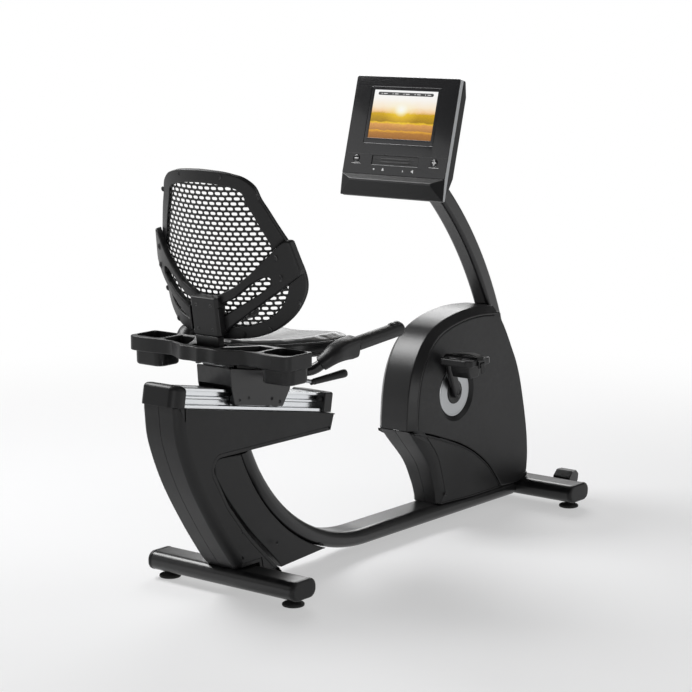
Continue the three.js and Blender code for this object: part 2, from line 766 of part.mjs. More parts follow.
function backPost() {
  const foot = (x) => [x, aboveRail(x, carriage.top + gap)];
  const outline = [
    foot(-54),
    foot(-20),
    [-20, aboveRail(-20, carriage.top + 8)],
    [-42, aboveRail(-42, carriage.top + 10)],
    onBack(post.front, -60),
    onBack(post.front, post.top),
    onBack(post.rear, post.top),
    onBack(post.rear, -55),
  ];
  return plate(outline, -post.half, post.half);
}

// Half outlines from the centre line out, in y and height up the back.
const rimHalf = [
  [0, 404],
  [75, 398],
  [118, 386],
  [150, 357],
  [172, 301],
  [198, 240],
  [229, 157],
  [235, 111],
  [228, 72],
  [207, 32],
  [172, 0],
  [128, -19],
  [60, -28],
  [0, -30],
];
const bothSides = (half) => [...half, ...half.slice(1, -1).map(([y, z]) => [-y, z]).reverse()];
const rimOutline = bothSides(smooth(rimHalf, 20));
// A curved wall round the sitter, between two distances behind the back's front face.
function curvedWall(nearer, farther) {
  const spread = 0.8;
  const outline = [
    ...arc(backCurve, 0, backCurve + nearer, Math.PI - spread, Math.PI + spread, 14),
    ...arc(backCurve, 0, backCurve + farther, Math.PI + spread, Math.PI - spread, 14),
  ];
  return slab(outline, -60, 440);
}

function backFrame() {
  const ring = cut(prism(rimOutline, -80, 120), prism(inset(rimOutline, backRim.width), -90, 130));
  return ring.intersect(curvedWall(0, backRim.thickness));
}

const backMesh = () =>
  prism(inset(rimOutline, backRim.width + gap), -80, 120)
    .intersect(curvedWall(backCloth.behind, backCloth.behind + backCloth.thickness));

function backBracket() {
  const armHalf = [
    [0, 70],
    [41, 92],
    [86, 113],
    [129, 146],
    [160, 175],
    [211, 227],
    [222, 227],
    [239, 142],
    [232, 131],
    [193, 100],
    [145, 65],
    [90, 26],
    [40, bracket.bottom],
    [0, bracket.bottom],
  ];
  const window = [
    [50, 68],
    [83, 84],
    [126, 118],
    [156, 134],
    [175, 138],
    [178, 120],
    [153, 99],
    [122, 79],
    [80, 56],
    [50, 38],
  ];
  const behind = backRim.thickness + gap;
  const openings = [window, window.map(([y, z]) => [-y, z])].map((outline) => prism(outline, -120, 120));
  const arms = prism(bothSides(armHalf), -120, 120).intersect(curvedWall(behind, behind + bracket.thickness));
  const middle = block(post.rear, -behind - 1, -bracket.half, bracket.half, bracket.bottom, bracket.top);
  return join(cut(arms, ...openings), middle);
}

place("back_post", backPost(), paint);
place("back_bracket", backBracket(), plastic, back);
place("back_frame", backFrame(), plastic, back);
place("back_mesh", backMesh(), meshCloth, back);

// ---- crank axle, cranks, discs and pedals ----
function crankAxle() {
  const axle = crossRod(crank.x, crank.z, -crankY.outer + 4, crankY.outer - 4, crank.axle);
  const { from, width, radius } = pulley;
  const rim = ringAcross(radius - 14, radius, from, from + width, crank.x, crank.z, 28);
  const web = crossRod(crank.x, crank.z, from + 4, from + 8, radius - 10, 28);
  const boss = crossRod(crank.x, crank.z, from, from + width, 22);
  return join(axle, rim, web, boss);
}

function crankArm() {
  const { reach, hub, eye, thickness } = crank;
  const outline = [
    ...arc(0, 0, hub, Math.PI / 2, 1.5 * Math.PI, 8),
    ...arc(reach, 0, eye, -Math.PI / 2, Math.PI / 2, 8),
  ];
  const slope = crankY.splay / reach;
  const shear = new THREE.Matrix4().makeShear(slope, 0, 0, 0, 0, 0);
  const flat = extruded(outline, thickness, 2, 1, 4).rotateX(Math.PI / 2);
  const arm = toSolid(flat.translate(0, crankY.arm + thickness, 0).applyMatrix4(shear));
  const boss = crossRod(0, 0, crankY.boss, crankY.arm + 4, hub);
  const bore = crossRod(0, 0, 40, crankY.outer - 4 + gap, crank.axle + gap);
  const spindleEnd = pedal.y + pedal.width - 6;
  const spindle = crossRod(reach, 0, crankY.arm + crankY.splay + 4, spindleEnd, pedal.spindle, 14);
  return join(cut(join(arm, boss), bore), spindle);
}
const onCrank = (solid, angle) => solid.rotate([0, -degrees(angle), 0]).translate([crank.x, 0, crank.z]);

const crankDisc = () =>
  ringAcross(crank.hub + gap, disc.radius, disc.face - disc.thickness, disc.face, crank.x, crank.z, 32);

function pedalBody() {
  const { length, width, thickness, y, spindle, weight, drop } = pedal;
  const plan = roundedRectangle(length, width, 16);
  const tread = slab(plan, -thickness / 2, thickness / 2).translate([0, y + width / 2, 0]);
  const keel = [[-weight, 0], [weight, 0], [weight - 12, -drop], [12 - weight, -drop]];
  const under = plate(keel, y + 20, y + width - 20);
  return cut(join(tread, under), crossRod(0, 0, y - 5, y + width - 6 + gap, spindle + running, 14));
}
const onPedal = (solid, angle) => {
  const [x, z] = [crank.x + crank.reach * Math.cos(angle), crank.z + crank.reach * Math.sin(angle)];
  return solid.translate([x, 0, z]);
};

place("crank_axle", crankAxle(), steel);
const armSolid = crankArm();
const pedalSolid = pedalBody();
const opposite = crank.angle + Math.PI;
place("crank_left", onCrank(armSolid, opposite), plastic);
place("crank_right", mirrorY(onCrank(armSolid, crank.angle)), plastic);
placePair("crank_disc", crankDisc(), chrome);
place("pedal_left", onPedal(pedalSolid, opposite), plastic);
place("pedal_right", mirrorY(onPedal(pedalSolid, crank.angle)), plastic);

// ---- flywheel, brake, belt and the frame that carries them ----
function flywheelBody() {
  const { x, z, radius, from, width, axle } = flywheel;
  const rim = ringAcross(radius - 22, radius, from, from + width, x, z, 32);
  const web = crossRod(x, z, from + width / 2 - 3, from + width / 2 + 3, radius - 15, 32);
  const shaft = crossRod(x, z, driveFrame.right - 2, driveFrame.left + 2, axle);
  const drum = crossRod(x, z, pulley.from, pulley.from + pulley.width, smallPulley);
  const neck = crossRod(x, z, from + width / 2, pulley.from + 1, axle + 4);
  return join(rim, web, shaft, drum, neck);
}

function magnetBrake() {
  const { x, z, radius, from, width } = flywheel;
  const inner = radius + brake.air;
  const outline = [
    ...arc(x, z, inner, brake.pivot, brake.end, 8),
    ...arc(x, z, inner + brake.depth, brake.end, brake.pivot, 8),
  ];
  const shoe = plate(outline, from - 4, from + width + 4);
  const [eyeX, eyeZ] = brakePivot();
  const eye = crossRod(eyeX, eyeZ, from - 4, from + width + 4, brake.depth - 2, 14);
  return cut(join(shoe, eye), crossRod(eyeX, eyeZ, -80, 80, brake.pin + running, 12));
}

function brakePivot() {
  const reach = flywheel.radius + brake.air + brake.depth / 2 + 4;
  return [flywheel.x + reach * Math.cos(brake.pivot), flywheel.z + reach * Math.sin(brake.pivot)];
}

function driveBelt() {
  const away = new THREE.Vector2(flywheel.x - crank.x, flywheel.z - crank.z);
  const heading = away.angle();
  const lean = Math.acos((pulley.radius - smallPulley) / away.length());
  const loop = (grow) => [
    ...arc(crank.x, crank.z, pulley.radius + grow, heading + lean, heading + 2 * Math.PI - lean, 24),
    ...arc(flywheel.x, flywheel.z, smallPulley + grow, heading - lean, heading + lean, 10),
  ];
  const [low, high] = [pulley.from, pulley.from + pulley.width];
  return cut(plate(loop(gap + belt), low, high), plate(loop(gap), low - 1, high + 1));
}

function frameOfDrive() {
  const { plate: thickness, right, left, shell } = driveFrame;
  const base = tubeTop + gap;
  const [rear, front] = [crank.x - 46, flywheel.x + 115];
  const outline = [
    [rear, base],
    [front, base],
    [front - 4, 300],
    [front - 50, 372],
    [crank.x + 128, 452],
    [crank.x + 18, 446],
    [rear + 6, 424],
    [rear, 320],
  ];
  const wallRight = plate(outline, right, right + thickness);
  const wallLeft = plate(outline, left - thickness, left);
  const floor = block(rear, front, right + 1, left - 1, base, base + 5);
  const tie = (x, z) => crossRod(x, z, right + 1, left - 1, 8, 12);
  const shellTube = crossRod(crank.x, crank.z, right - 4, pulley.from - 4, shell);
  const pin = crossRod(...brakePivot(), right + 1, left - 1, brake.pin, 12);
  const ties = [tie(rear + 24, 110), tie(front - 14, 100), tie(crank.x + 150, 424)];
  const body = join(wallRight, wallLeft, floor, ...ties, shellTube, pin);
  const axleBore = crossRod(crank.x, crank.z, -80, 80, crank.axle + running);
  const shaftBore = crossRod(flywheel.x, flywheel.z, -80, 80, flywheel.axle + running);
  return cut(body, axleBore, shaftBore);
}

place("flywheel", flywheelBody(), steel);
place("magnet_brake", magnetBrake(), steel);
place("drive_belt", driveBelt(), rubber);
place("drive_frame", frameOfDrive(), paint);

// ---- shroud: crown over the top, side panels, lower covers ----
// Drawn with x measured from the front foot's centre line, and moved with it.
const fromFoot = (points) => points.map(([x, z]) => [footSpan + x, z]);
const shroudOutline = fromFoot([
  [-441, 50],
  ...smooth([[-459, 130], [-490, 195], [-552, 264], [-592, 307]], 5),
  ...smooth(
    [
      [-592, 330],
      [-590, 358],
      [-578, 443],
      [-547, 515],
      [-507, 562],
      [-462, 590],
      [-420, 604],
      [-372, 614],
      [-323, 620],
      [-274, 622],
      [-172, 617],
    ],
    14,
  ),
  ...smooth([[-146, 602], [-105, 532], [-57, 446], [-16, 320], [9, 190], [11, 124], [4, 84]], 8),
  [-2, 50],
]);
const panelTop = fromFoot(
  smooth(
    [
      [-572, 306],
      [-569, 397],
      [-558, 452],
      [-535, 500],
      [-502, 539],
      [-464, 565],
      [-416, 587],
      [-367, 598],
      [-318, 602],
      [-267, 603],
      [-216, 600],
      [-180, 596],
    ],
    16,
  ),
);
const panelFront = fromFoot([[-180, 596], [-164, 585], [-148, 565], [-126, 523], [-101, 464], [-82, 452]]);
const seam = fromFoot(
  smooth(
    [[-572, 306], [-509, 290], [-436, 265], [-361, 238], [-285, 200], [-217, 152], [-175, 108], [-144, 66]],
    8,
  ),
);
const crownZone = [...panelTop, ...fromFoot([[-180, 700], [-692, 700], [-692, 306]])];
const lowerZone = [...fromFoot([[-692, 306]]), ...seam, ...fromFoot([[-144, 20], [-692, 20]])];
const frontZone = [...panelFront, ...fromFoot([[108, 452], [108, 750], [-180, 750]])];
const bottomZone = [
  ...fromFoot([[-692, 84], [-487, 84], [-258, 72], [-84, 70], [-54, footTop + 1]]),
  ...fromFoot([[108, footTop + 1], [108, 0], [-692, 0]]),
];

function shroudPieces() {
  const { half, bevel, wall } = shroud;
  const outer = plate(shroudOutline, -half, half, { round: bevel, roundSteps: 1 });
  const inner = plate(inset(shroudOutline, wall), wall - half, half - wall, { round: bevel, roundSteps: 1 });
  const wide = (outline) => plate(outline, -100, 100);
  const mastSpace = plate(
    [
      ...arc(mast.centreX, mast.centreZ, mast.radius - mast.depth / 2 - 2, radians(-6), radians(30), 12),
      ...arc(mast.centreX, mast.centreZ, mast.radius + mast.depth / 2 + 2, radians(30), radians(-6), 12),
    ],
    -mast.width / 2 - 1,
    mast.width / 2 + 1,
  );
  const shell = cut(outer, inner, wide(bottomZone), wide(frontZone), mastSpace);
  const leftSide = block(500, 1500, gap / 2, 200, 0, 800);
  return {
    crown: shell.intersect(wide(inset(crownZone, gap))),
    lower: shell.intersect(wide(inset(lowerZone, gap))).intersect(leftSide),
    side: cut(shell, wide(crownZone), wide(lowerZone)).intersect(leftSide),
  };
}

function shroudSide(side) {
  const { half, wall } = shroud;
  const floorY = disc.face - disc.thickness - running;
  const dish = turnedAcross(
    [
      [recess.bore, floorY - wall],
      [recess.floor + wall, floorY - wall],
      [recess.floor + wall, disc.face],
      [recess.rim + wall, half - 1],
      [recess.rim + wall, half],
      [recess.rim, half],
      [recess.floor, disc.face],
      [recess.floor, floorY],
      [recess.bore, floorY],
      [recess.bore, floorY - wall],
    ],
    crank.x,
    crank.z,
    32,
  );
  return join(cut(side, crossRod(crank.x, crank.z, 40, 80, recess.rim + 1, 32)), dish);
}

const shroudSet = shroudPieces();
place("crown_cover", shroudSet.crown, plastic);
placePair("lower_cover", shroudSet.lower, panelPlastic);
placePair("shroud", shroudSide(shroudSet.side), panelPlastic);

// ---- console on the mast: housing with its pivot ears, face and two buttons ----
const console3d = new THREE.Group();
console3d.position.set(panel.x, 0, panel.z);
console3d.rotation.y = panel.tilt;
bike.add(console3d);
// The pivot, in the console's own x and z.
const [pivotX, pivotZ] = [consolePivot[0] - panel.x, consolePivot[1] - panel.z];
const pivotBehind = pivotX * Math.cos(panel.tilt) - pivotZ * Math.sin(panel.tilt);
const pivotUp = pivotX * Math.sin(panel.tilt) + pivotZ * Math.cos(panel.tilt);
const chinEnd = -panel.up - panel.chin;
const frontLine = (back) => [
  [back, panel.up],
  [back, -82],
  [back - panel.ridge, -158],
  [back + 10, chinEnd],
];

function consoleFace() {
  const outline = [...frontLine(0), ...frontLine(panel.lens).reverse()];
  const face = plate(outline, -panel.half, panel.half);
  const hole = (y) => rod([-10, y, button.up], [10, y, button.up], button.radius + running);
  return cut(face, hole(button.y), hole(-button.y));
}

function consoleHousing() {
  const front = panel.lens + gap;
  const rearLine = [[22, chinEnd], [housing.back, -130], [housing.back, 96], [30, panel.up]];
  const outline = [...frontLine(front), ...rearLine];
  const shell = cut(
    plate(outline, -panel.half, panel.half),
    plate(inset(outline, sheet), sheet - panel.half, panel.half - sheet),
    block(-10, 20, 8 - panel.half, panel.half - 8, -114, panel.up - 8),
  );
  const earY = mast.width / 2 + 3;
  const earOutline = [
    [housing.back - 2, pivotUp - 24],
    [pivotBehind, pivotUp - 16],
    ...arc(pivotBehind, pivotUp, 16, -Math.PI / 2, Math.PI / 2, 6),
    [housing.back - 2, pivotUp + 24],
  ];
  const ear = plate(earOutline, earY, earY + housing.ear);
  const pin = crossRod(pivotBehind, pivotUp, -earY - 1, earY + 1, housing.pin, 14);
  return join(shell, ear, mirrorY(ear), pin);
}

function buttonOf(y) {
  const behind = panel.lens + running;
  const profile = [
    [0, -behind - 3],
    [button.flange, -behind - 3],
    [button.flange, -behind],
    [button.radius, -behind],
    [button.radius, button.proud - 0.4],
    [button.radius - 1, button.proud],
    [0, button.proud],
  ];
  return turnedUp(profile, 16).rotate([0, -90, 0]).translate([0.18, y, button.up]);
}

place("console_housing", consoleHousing(), plastic, console3d);
place("console_face", consoleFace(), glossBlack, console3d);
place("button_minus", buttonOf(button.y), glossBlack, console3d);
place("button_plus", buttonOf(-button.y), glossBlack, console3d);

// ---- the origin goes to the bottom centre of the whole bike's box ----
const box = new THREE.Box3().setFromObject(bike);
const middle = box.getCenter(new THREE.Vector3());
bike.position.set(-middle.x, -middle.y, -box.min.z);
const root = new THREE.Group();
root.add(bike);

export default root;
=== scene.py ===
import math

import bmesh
import bpy
import numpy as np
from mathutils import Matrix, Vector
from mathutils.geometry import delaunay_2d_cdt


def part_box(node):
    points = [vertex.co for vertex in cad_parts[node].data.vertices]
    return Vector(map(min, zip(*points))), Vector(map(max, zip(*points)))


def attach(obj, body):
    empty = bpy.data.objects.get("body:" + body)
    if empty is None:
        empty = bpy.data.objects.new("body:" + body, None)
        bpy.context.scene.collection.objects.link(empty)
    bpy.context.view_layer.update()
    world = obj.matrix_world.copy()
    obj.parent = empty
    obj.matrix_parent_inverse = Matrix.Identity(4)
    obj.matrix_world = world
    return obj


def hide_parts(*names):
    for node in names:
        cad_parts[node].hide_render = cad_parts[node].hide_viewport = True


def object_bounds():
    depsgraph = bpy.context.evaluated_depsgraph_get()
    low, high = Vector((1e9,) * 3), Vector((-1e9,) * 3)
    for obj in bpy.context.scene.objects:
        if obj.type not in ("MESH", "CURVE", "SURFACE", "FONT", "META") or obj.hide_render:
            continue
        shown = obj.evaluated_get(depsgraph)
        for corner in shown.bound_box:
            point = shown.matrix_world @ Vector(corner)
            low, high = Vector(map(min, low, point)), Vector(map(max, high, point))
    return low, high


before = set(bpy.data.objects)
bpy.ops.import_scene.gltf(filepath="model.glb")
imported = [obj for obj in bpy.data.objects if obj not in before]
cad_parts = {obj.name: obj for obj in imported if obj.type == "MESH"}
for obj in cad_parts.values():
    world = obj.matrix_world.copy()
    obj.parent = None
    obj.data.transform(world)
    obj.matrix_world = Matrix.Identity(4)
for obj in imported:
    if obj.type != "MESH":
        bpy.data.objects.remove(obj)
cadLow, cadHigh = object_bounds()
print("frame loaded:", len(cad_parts), "nodes")

# Sizes below are millimetres, with x = 0 at the rear foot, y = 0 at the middle and z = 0 at the floor.
mm = 0.001
footLow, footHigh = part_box("rear_foot")
rearX = (footLow.x + footHigh.x) / 2
sides = [("left", 1), ("right", -1)]
pi = math.pi


# Lines and outlines.
def spline(points, steps):
    knots = [np.array(p, float) for p in points]
    last = len(knots) - 1
    line = []
    for i in range(last):
        a, b, c, d = [knots[min(max(i + k, 0), last)] for k in (-1, 0, 1, 2)]
        for t in np.arange(steps) / steps:
            line.append(b + 0.5 * t * (c - a + t * (2 * a - 5 * b + 4 * c - d + t * (3 * (b - c) + d - a))))
    return line + [knots[-1]]


def arc(cx, cy, radius, start, end, steps):
    turns = np.linspace(start, end, steps + 1)
    return [np.array((cx + radius * math.cos(a), cy + radius * math.sin(a))) for a in turns]


def roundCorners(points, radii, steps=6):
    n = len(points)
    line = []
    for i, corner in enumerate(points):
        radius = radii[i] if hasattr(radii, "__len__") else radii
        p = np.array(corner, float)
        a, b = np.array(points[i - 1], float) - p, np.array(points[(i + 1) % n], float) - p
        lengthA, lengthB = np.linalg.norm(a), np.linalg.norm(b)
        a, b = a / lengthA, b / lengthB
        half = math.acos(float(np.clip(a @ b, -1, 1))) / 2
        if radius <= 0 or half > 1.52:
            line.append(p)
            continue
        reach = min(radius / math.tan(half), 0.48 * lengthA, 0.48 * lengthB)
        radius = reach * math.tan(half)
        centre = p + (a + b) / np.linalg.norm(a + b) * radius / math.sin(half)
        for t in np.linspace(0, 1, steps + 1):
            out = (p + a * reach) * (1 - t) + (p + b * reach) * t - centre
            line.append(centre + out / np.linalg.norm(out) * radius)
    return line


def rectangle(width, height, corner, centre=(0, 0), steps=6):
    w, h = width / 2, height / 2
    loop = roundCorners([(w, -h), (w, h), (-w, h), (-w, -h)], corner, steps)
    return [p + np.array(centre, float) for p in loop]


def circle(radius, centre=(0, 0), steps=40):
    return arc(centre[0], centre[1], radius, 0, 2 * pi, steps)[:-1]


def areaOf(loop):
    p = np.array(loop)
    q = np.roll(p, -1, 0)
    return float((p[:, 0] * q[:, 1] - q[:, 0] * p[:, 1]).sum() / 2)


def turned(loop, left=True):
    return loop if (areaOf(loop) > 0) == left else loop[::-1]


# Long edges split up, so that a bent surface stays smooth.
def evenly(loop, spacing):
    line = []
    for i, p in enumerate(loop):
        q = loop[(i + 1) % len(loop)]
        parts = max(1, math.ceil(np.linalg.norm(np.array(q) - np.array(p)) / spacing))
        line += [np.array(p) + (np.array(q) - np.array(p)) * k / parts for k in range(parts)]
    return line


# Each point moved to the left of the way the loop runs, which is inwards for an outer loop.
def offset(loop, distance):
    p = np.array(loop, float)
    before, after = p - np.roll(p, 1, 0), np.roll(p, -1, 0) - p
    normals = []
    for way in (before, after):
        n = np.stack([-way[:, 1], way[:, 0]], 1)
        normals.append(n / np.maximum(np.linalg.norm(n, axis=1, keepdims=True), 1e-9))
    middle = normals[0] + normals[1]
    middle /= np.maximum(np.linalg.norm(middle, axis=1, keepdims=True), 1e-9)
    reach = np.broadcast_to(distance, len(p)) / np.maximum(0.4, (middle * normals[0]).sum(1))
    return p + middle * reach[:, None]


def isInside(loop, points):
    p = np.array([tuple(q) for q in points], float)
    inside = np.zeros(len(points), bool)
    for (x0, y0), (x1, y1) in zip(loop, list(loop[1:]) + [loop[0]]):
        if y0 != y1:
            crossing = (x1 - x0) * (p[:, 1] - y0) / (y1 - y0) + x0
            inside ^= ((y0 > p[:, 1]) != (y1 > p[:, 1])) & (p[:, 0] < crossing)
    return inside


# How far each point lies from the nearest point of a line.
def howFar(points, line):
    return np.min(np.linalg.norm(np.array(points)[:, None] - np.array(line)[None], axis=2), axis=1)


# The direction to the right of a line at each of its points.
def inwardOf(line):
    ways = np.gradient(line, axis=0)
    ways /= np.linalg.norm(ways, axis=1, keepdims=True)
    return np.stack([ways[:, 1], -ways[:, 0]], 1)


def mirrored(points):
    return [np.array((x, -y)) for x, y in points][::-1]


# Where an outline's two ways and its thickness lie on the bike.
def across(x, z, y):
    return (x, y, z)


def upright(x, y, z):
    return (x, y, z)


rail = {"tilt": math.radians(10), "height": 483.3, "from": -231, "to": 317}


def onRail(s, n, y):
    c, k = math.cos(rail["tilt"]), math.sin(rail["tilt"])
    return (s * c + n * k, y, rail["height"] - s * k + n * c)


def railPlan(s, y, n):
    return onRail(s, n, y)


def railSection(y, n, s):
    return onRail(s, n, y)


backRest = {"tilt": math.radians(8.53), "x": -38, "z": 700, "curve": 342}


def behindBack(y, up, depth):
    back = backRest["curve"] - math.sqrt((backRest["curve"] + depth) ** 2 - y * y)
    c, k = math.cos(backRest["tilt"]), math.sin(backRest["tilt"])
    return (backRest["x"] + back * c - up * k, y, backRest["z"] + back * k + up * c)


def straightBack(y, up, depth):
    c, k = math.cos(backRest["tilt"]), math.sin(backRest["tilt"])
    return (backRest["x"] - depth * c - up * k, y, backRest["z"] - depth * k + up * c)


panel = {"x": 724, "z": 1159, "tilt": math.radians(15.1)}


def onPanel(y, up, deep):
    c, k = math.cos(panel["tilt"]), math.sin(panel["tilt"])
    return (panel["x"] + deep * c + up * k, y, panel["z"] - deep * k + up * c)


def facing(origin, normal):
    o, n = Vector(origin), Vector(normal).normalized()
    a = n.orthogonal().normalized()
    b = n.cross(a)
    return lambda u, v, w: tuple(o + a * float(u) + b * float(v) + n * float(w))


# Meshes, each a list of points and a list of faces.
def shell(loops, rings, place, grid=0):
    counts = [len(loop) for loop in loops]
    total = sum(counts)
    flat, points, faces = [], [], []
    for ring in rings:
        layer = []
        for loop, (inset, height) in zip(loops, ring):
            moved = offset(loop, inset)
            heights = np.broadcast_to(height, len(moved))
            layer += [(u, v, w) for (u, v), w in zip(moved, heights)]
        flat.append(layer)
        points += [place(*p) for p in layer]
    for k in range(len(rings) - 1):
        base = k * total
        for n in counts:
            faces += [(base + i, base + (i + 1) % n, base + (i + 1) % n + total, base + i + total)
                      for i in range(n)]
            
            base += n
    for k in (0, len(rings) - 1):
        layer = flat[k]
        corners = [Vector(p[:2]) for p in layer]
        edges, base = [], 0
        for n in counts:
            edges += [(base + i, base + (i + 1) % n) for i in range(n)]
            base += n
        if grid:
            us, vs = [c.x for c in corners], [c.y for c in corners]
            for u in np.arange(min(us) + grid / 2, max(us), grid):
                corners += [Vector((u, v)) for v in np.arange(min(vs) + grid / 2, max(vs), grid)]
        found = delaunay_2d_cdt(corners, edges, [], 1, 1e-4)
        centres = np.array([sum((found[0][v] for v in face), Vector((0, 0))) / len(face)
                            for face in found[2]])
        inHole, base = np.zeros(len(centres), bool), counts[0]
        for n in counts[1:]:
            inHole |= isInside([corners[base + i] for i in range(n)], centres)
            base += n
        names = {}
        for face, left in zip(found[2], inHole):
            if left:
                continue
            corner = []
            for v in face:
                if v not in names:
                    sources = [s for s in found[3][v] if s < total]
                    if sources:
                        names[v] = k * total + sources[0]
                    else:
                        names[v] = len(points)
                        points.append(place(found[0][v].x, found[0][v].y, layer[0][2]))
                corner.append(names[v])
            faces.append(tuple(corner))
    return points, faces


# A slab with rounded rims: an outline with holes, carried from low to high.
def slab(outline, low, high, rim, place, holes=(), rimLow=None, steps=3, grid=0, spacing=0):
    loops = [turned(outline)] + [turned(h, False) for h in holes]
    if spacing:
        loops = [evenly(loop, spacing) for loop in loops]
    under = rim if rimLow is None else rimLow
    turns = np.linspace(0, pi / 2, steps + 1)
    rings = [(under * (1 - math.sin(a)), low + under * (1 - math.cos(a))) for a in turns]
    rings += [(rim * (1 - math.cos(a)), high - rim * (1 - math.sin(a))) for a in turns]
    return shell(loops, [[pair] * len(loops) for pair in rings], place, grid)


def loft(rings, ends=True):
    n = len(rings[0])
    points = [tuple(float(c) for c in p) for r in rings for p in r]
    faces = []
    for k in range(len(rings) - 1):
        a, b = k * n, (k + 1) * n
        faces += [(a + i, a + (i + 1) % n, b + (i + 1) % n, b + i) for i in range(n)]
    if ends:
        faces += [tuple(range(n)), tuple(range(len(points) - n, len(points)))]
    return points, faces


def lathe(profile, place, steps=40):
    turns = np.arange(steps) * 2 * pi / steps
    rings = [[place(r * math.cos(a), r * math.sin(a), h) for a in turns] for r, h in profile]
    return loft(rings, ends=profile[0][0] > 0 and profile[-1] != profile[0])


# A section carried along a line. A section that changes on the way is a function of how far along it is.
def sweep(section, path, start=(0, 1, 0), ends=True):
    line = np.array(path, float)
    ways = np.gradient(line, axis=0)
    ways /= np.linalg.norm(ways, axis=1, keepdims=True)
    side = np.array(start, float)
    rings = []
    for i, (p, way) in enumerate(zip(line, ways)):
        side = side - way * (side @ way)
        side /= np.linalg.norm(side)
        up = np.cross(way, side)
        outline = section(i / (len(line) - 1)) if callable(section) else section
        rings.append([p + side * a + up * b for a, b in outline])
    return loft(rings, ends)


def merge(*parts):
    points, faces = [], []
    for somePoints, someFaces in parts:
        faces += [tuple(v + len(points) for v in face) for face in someFaces]
        points += list(somePoints)
    return points, faces


def otherSide(part):
    return [(x, -y, z) for x, y, z in part[0]], part[1]


def onSide(part, sign):
    return part if sign > 0 else otherSide(part)


def both(part):
    return merge(part, otherSide(part))


# A screw head with a round recess, let into a face.
def screwAt(origin, normal, radius=4.2, proud=0.8):
    place = facing(origin, normal)
    head = lathe([(0, -1.2), (radius * 0.5, -1.2), (radius * 0.5, proud), (radius * 0.85, proud),
                  (radius, proud * 0.4), (radius, -2), (0, -2)], place, 20)
    cup = lathe([(radius + 1.6, 0.15), (radius + 1.6, 0.35), (radius + 0.7, 0.35), (radius + 0.7, 0.15)],
                place, 24)
    return merge(head, cup)


def piece(name, part, material, body, replaced=(), crease=32, weighted=True):
    points, faces = part
    mesh = bpy.data.meshes.new(name)
    mesh.from_pydata([(rearX + x * mm, y * mm, z * mm) for x, y, z in points], [], faces)
    work = bmesh.new()
    work.from_mesh(mesh)
    bmesh.ops.remove_doubles(work, verts=work.verts, dist=2e-6)
    bmesh.ops.dissolve_degenerate(work, edges=work.edges, dist=1e-6)
    bmesh.ops.recalc_face_normals(work, faces=work.faces)
    work.to_mesh(mesh)
    work.free()
    mesh.shade_smooth()
    mesh.set_sharp_from_angle(angle=math.radians(crease))
    made = bpy.data.objects.new(name, mesh)
    bpy.context.scene.collection.objects.link(made)
    mesh.materials.append(material)
    if weighted:
        weights = made.modifiers.new("evenShading", "WEIGHTED_NORMAL")
        weights.keep_sharp = True
    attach(made, body)
    if replaced:
        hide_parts(*replaced)
    return made


# Finishes.
def newGroup(name, inputs, outputs):
    tree = bpy.data.node_groups.new(name, "ShaderNodeTree")
    for label, kind, value in inputs:
        socket = tree.interface.new_socket(label, in_out="INPUT", socket_type="NodeSocket" + kind)
        if value is not None:
            socket.default_value = value
    for label, kind in outputs:
        tree.interface.new_socket(label, in_out="OUTPUT", socket_type="NodeSocket" + kind)
    return tree, tree.nodes.new("NodeGroupInput"), tree.nodes.new("NodeGroupOutput")


def feed(tree, made, values):
    for key, value in values.items():
        if isinstance(value, bpy.types.NodeSocket):
            tree.links.new(value, made.inputs[key])
        else:
            made.inputs[key].default_value = value
    return made


def addNode(tree, kind, values=None, **settings):
    made = tree.nodes.new("ShaderNode" + kind)
    for key, value in settings.items():
        setattr(made, key, value)
    return feed(tree, made, values or {})


def useGroup(tree, group, values):
    made = tree.nodes.new("ShaderNodeGroup")
    made.node_tree = group
    return feed(tree, made, values)


def rampOf(tree, factor, stops):
    ramp = addNode(tree, "ValToRGB", {"Fac": factor})
    while len(ramp.color_ramp.elements) < len(stops):
        ramp.color_ramp.elements.new(0.5)
    for element, (place, color) in zip(ramp.color_ramp.elements, stops):
        element.position = place
        element.color = (*color, 1) if len(color) == 3 else color
    return ramp


# Moulded or cast grain: fine pits for the bump, and a slow change in gloss.
def grainGroup():
    tree, given, out = newGroup("surfaceGrain", [("Vector", "Vector", None), ("Scale", "Float", 900.0),
                                                 ("Stretch", "Vector", (1, 1, 1)),
                                                 ("Roughness", "Float", 0.5), ("Change", "Float", 0.08)],
                                [("Height", "Float"), ("Roughness", "Float")])
    spread = addNode(tree, "VectorMath", {0: given.outputs["Vector"], 1: given.outputs["Stretch"]},
                     operation="MULTIPLY")
    pits = addNode(tree, "TexVoronoi", {"Vector": spread.outputs[0], "Scale": given.outputs["Scale"]},
                   feature="SMOOTH_F1")
    fine = addNode(tree, "TexNoise", {"Vector": spread.outputs[0], "Scale": given.outputs["Scale"],
                                      "Detail": 3.0})
    height = addNode(tree, "Math", {0: pits.outputs["Distance"], 1: fine.outputs["Fac"]}, operation="ADD")
    slow = addNode(tree, "TexNoise", {"Vector": given.outputs["Vector"], "Scale": 9.0, "Detail": 4.0})
    swing = addNode(tree, "Math", {0: slow.outputs["Fac"], 1: 0.5}, operation="SUBTRACT")
    scaled = addNode(tree, "Math", {0: swing.outputs[0], 1: given.outputs["Change"],
                                    2: given.outputs["Roughness"]},
                     operation="MULTIPLY_ADD")
    tree.links.new(height.outputs[0], out.inputs["Height"])
    tree.links.new(scaled.outputs[0], out.inputs["Roughness"])
    return tree


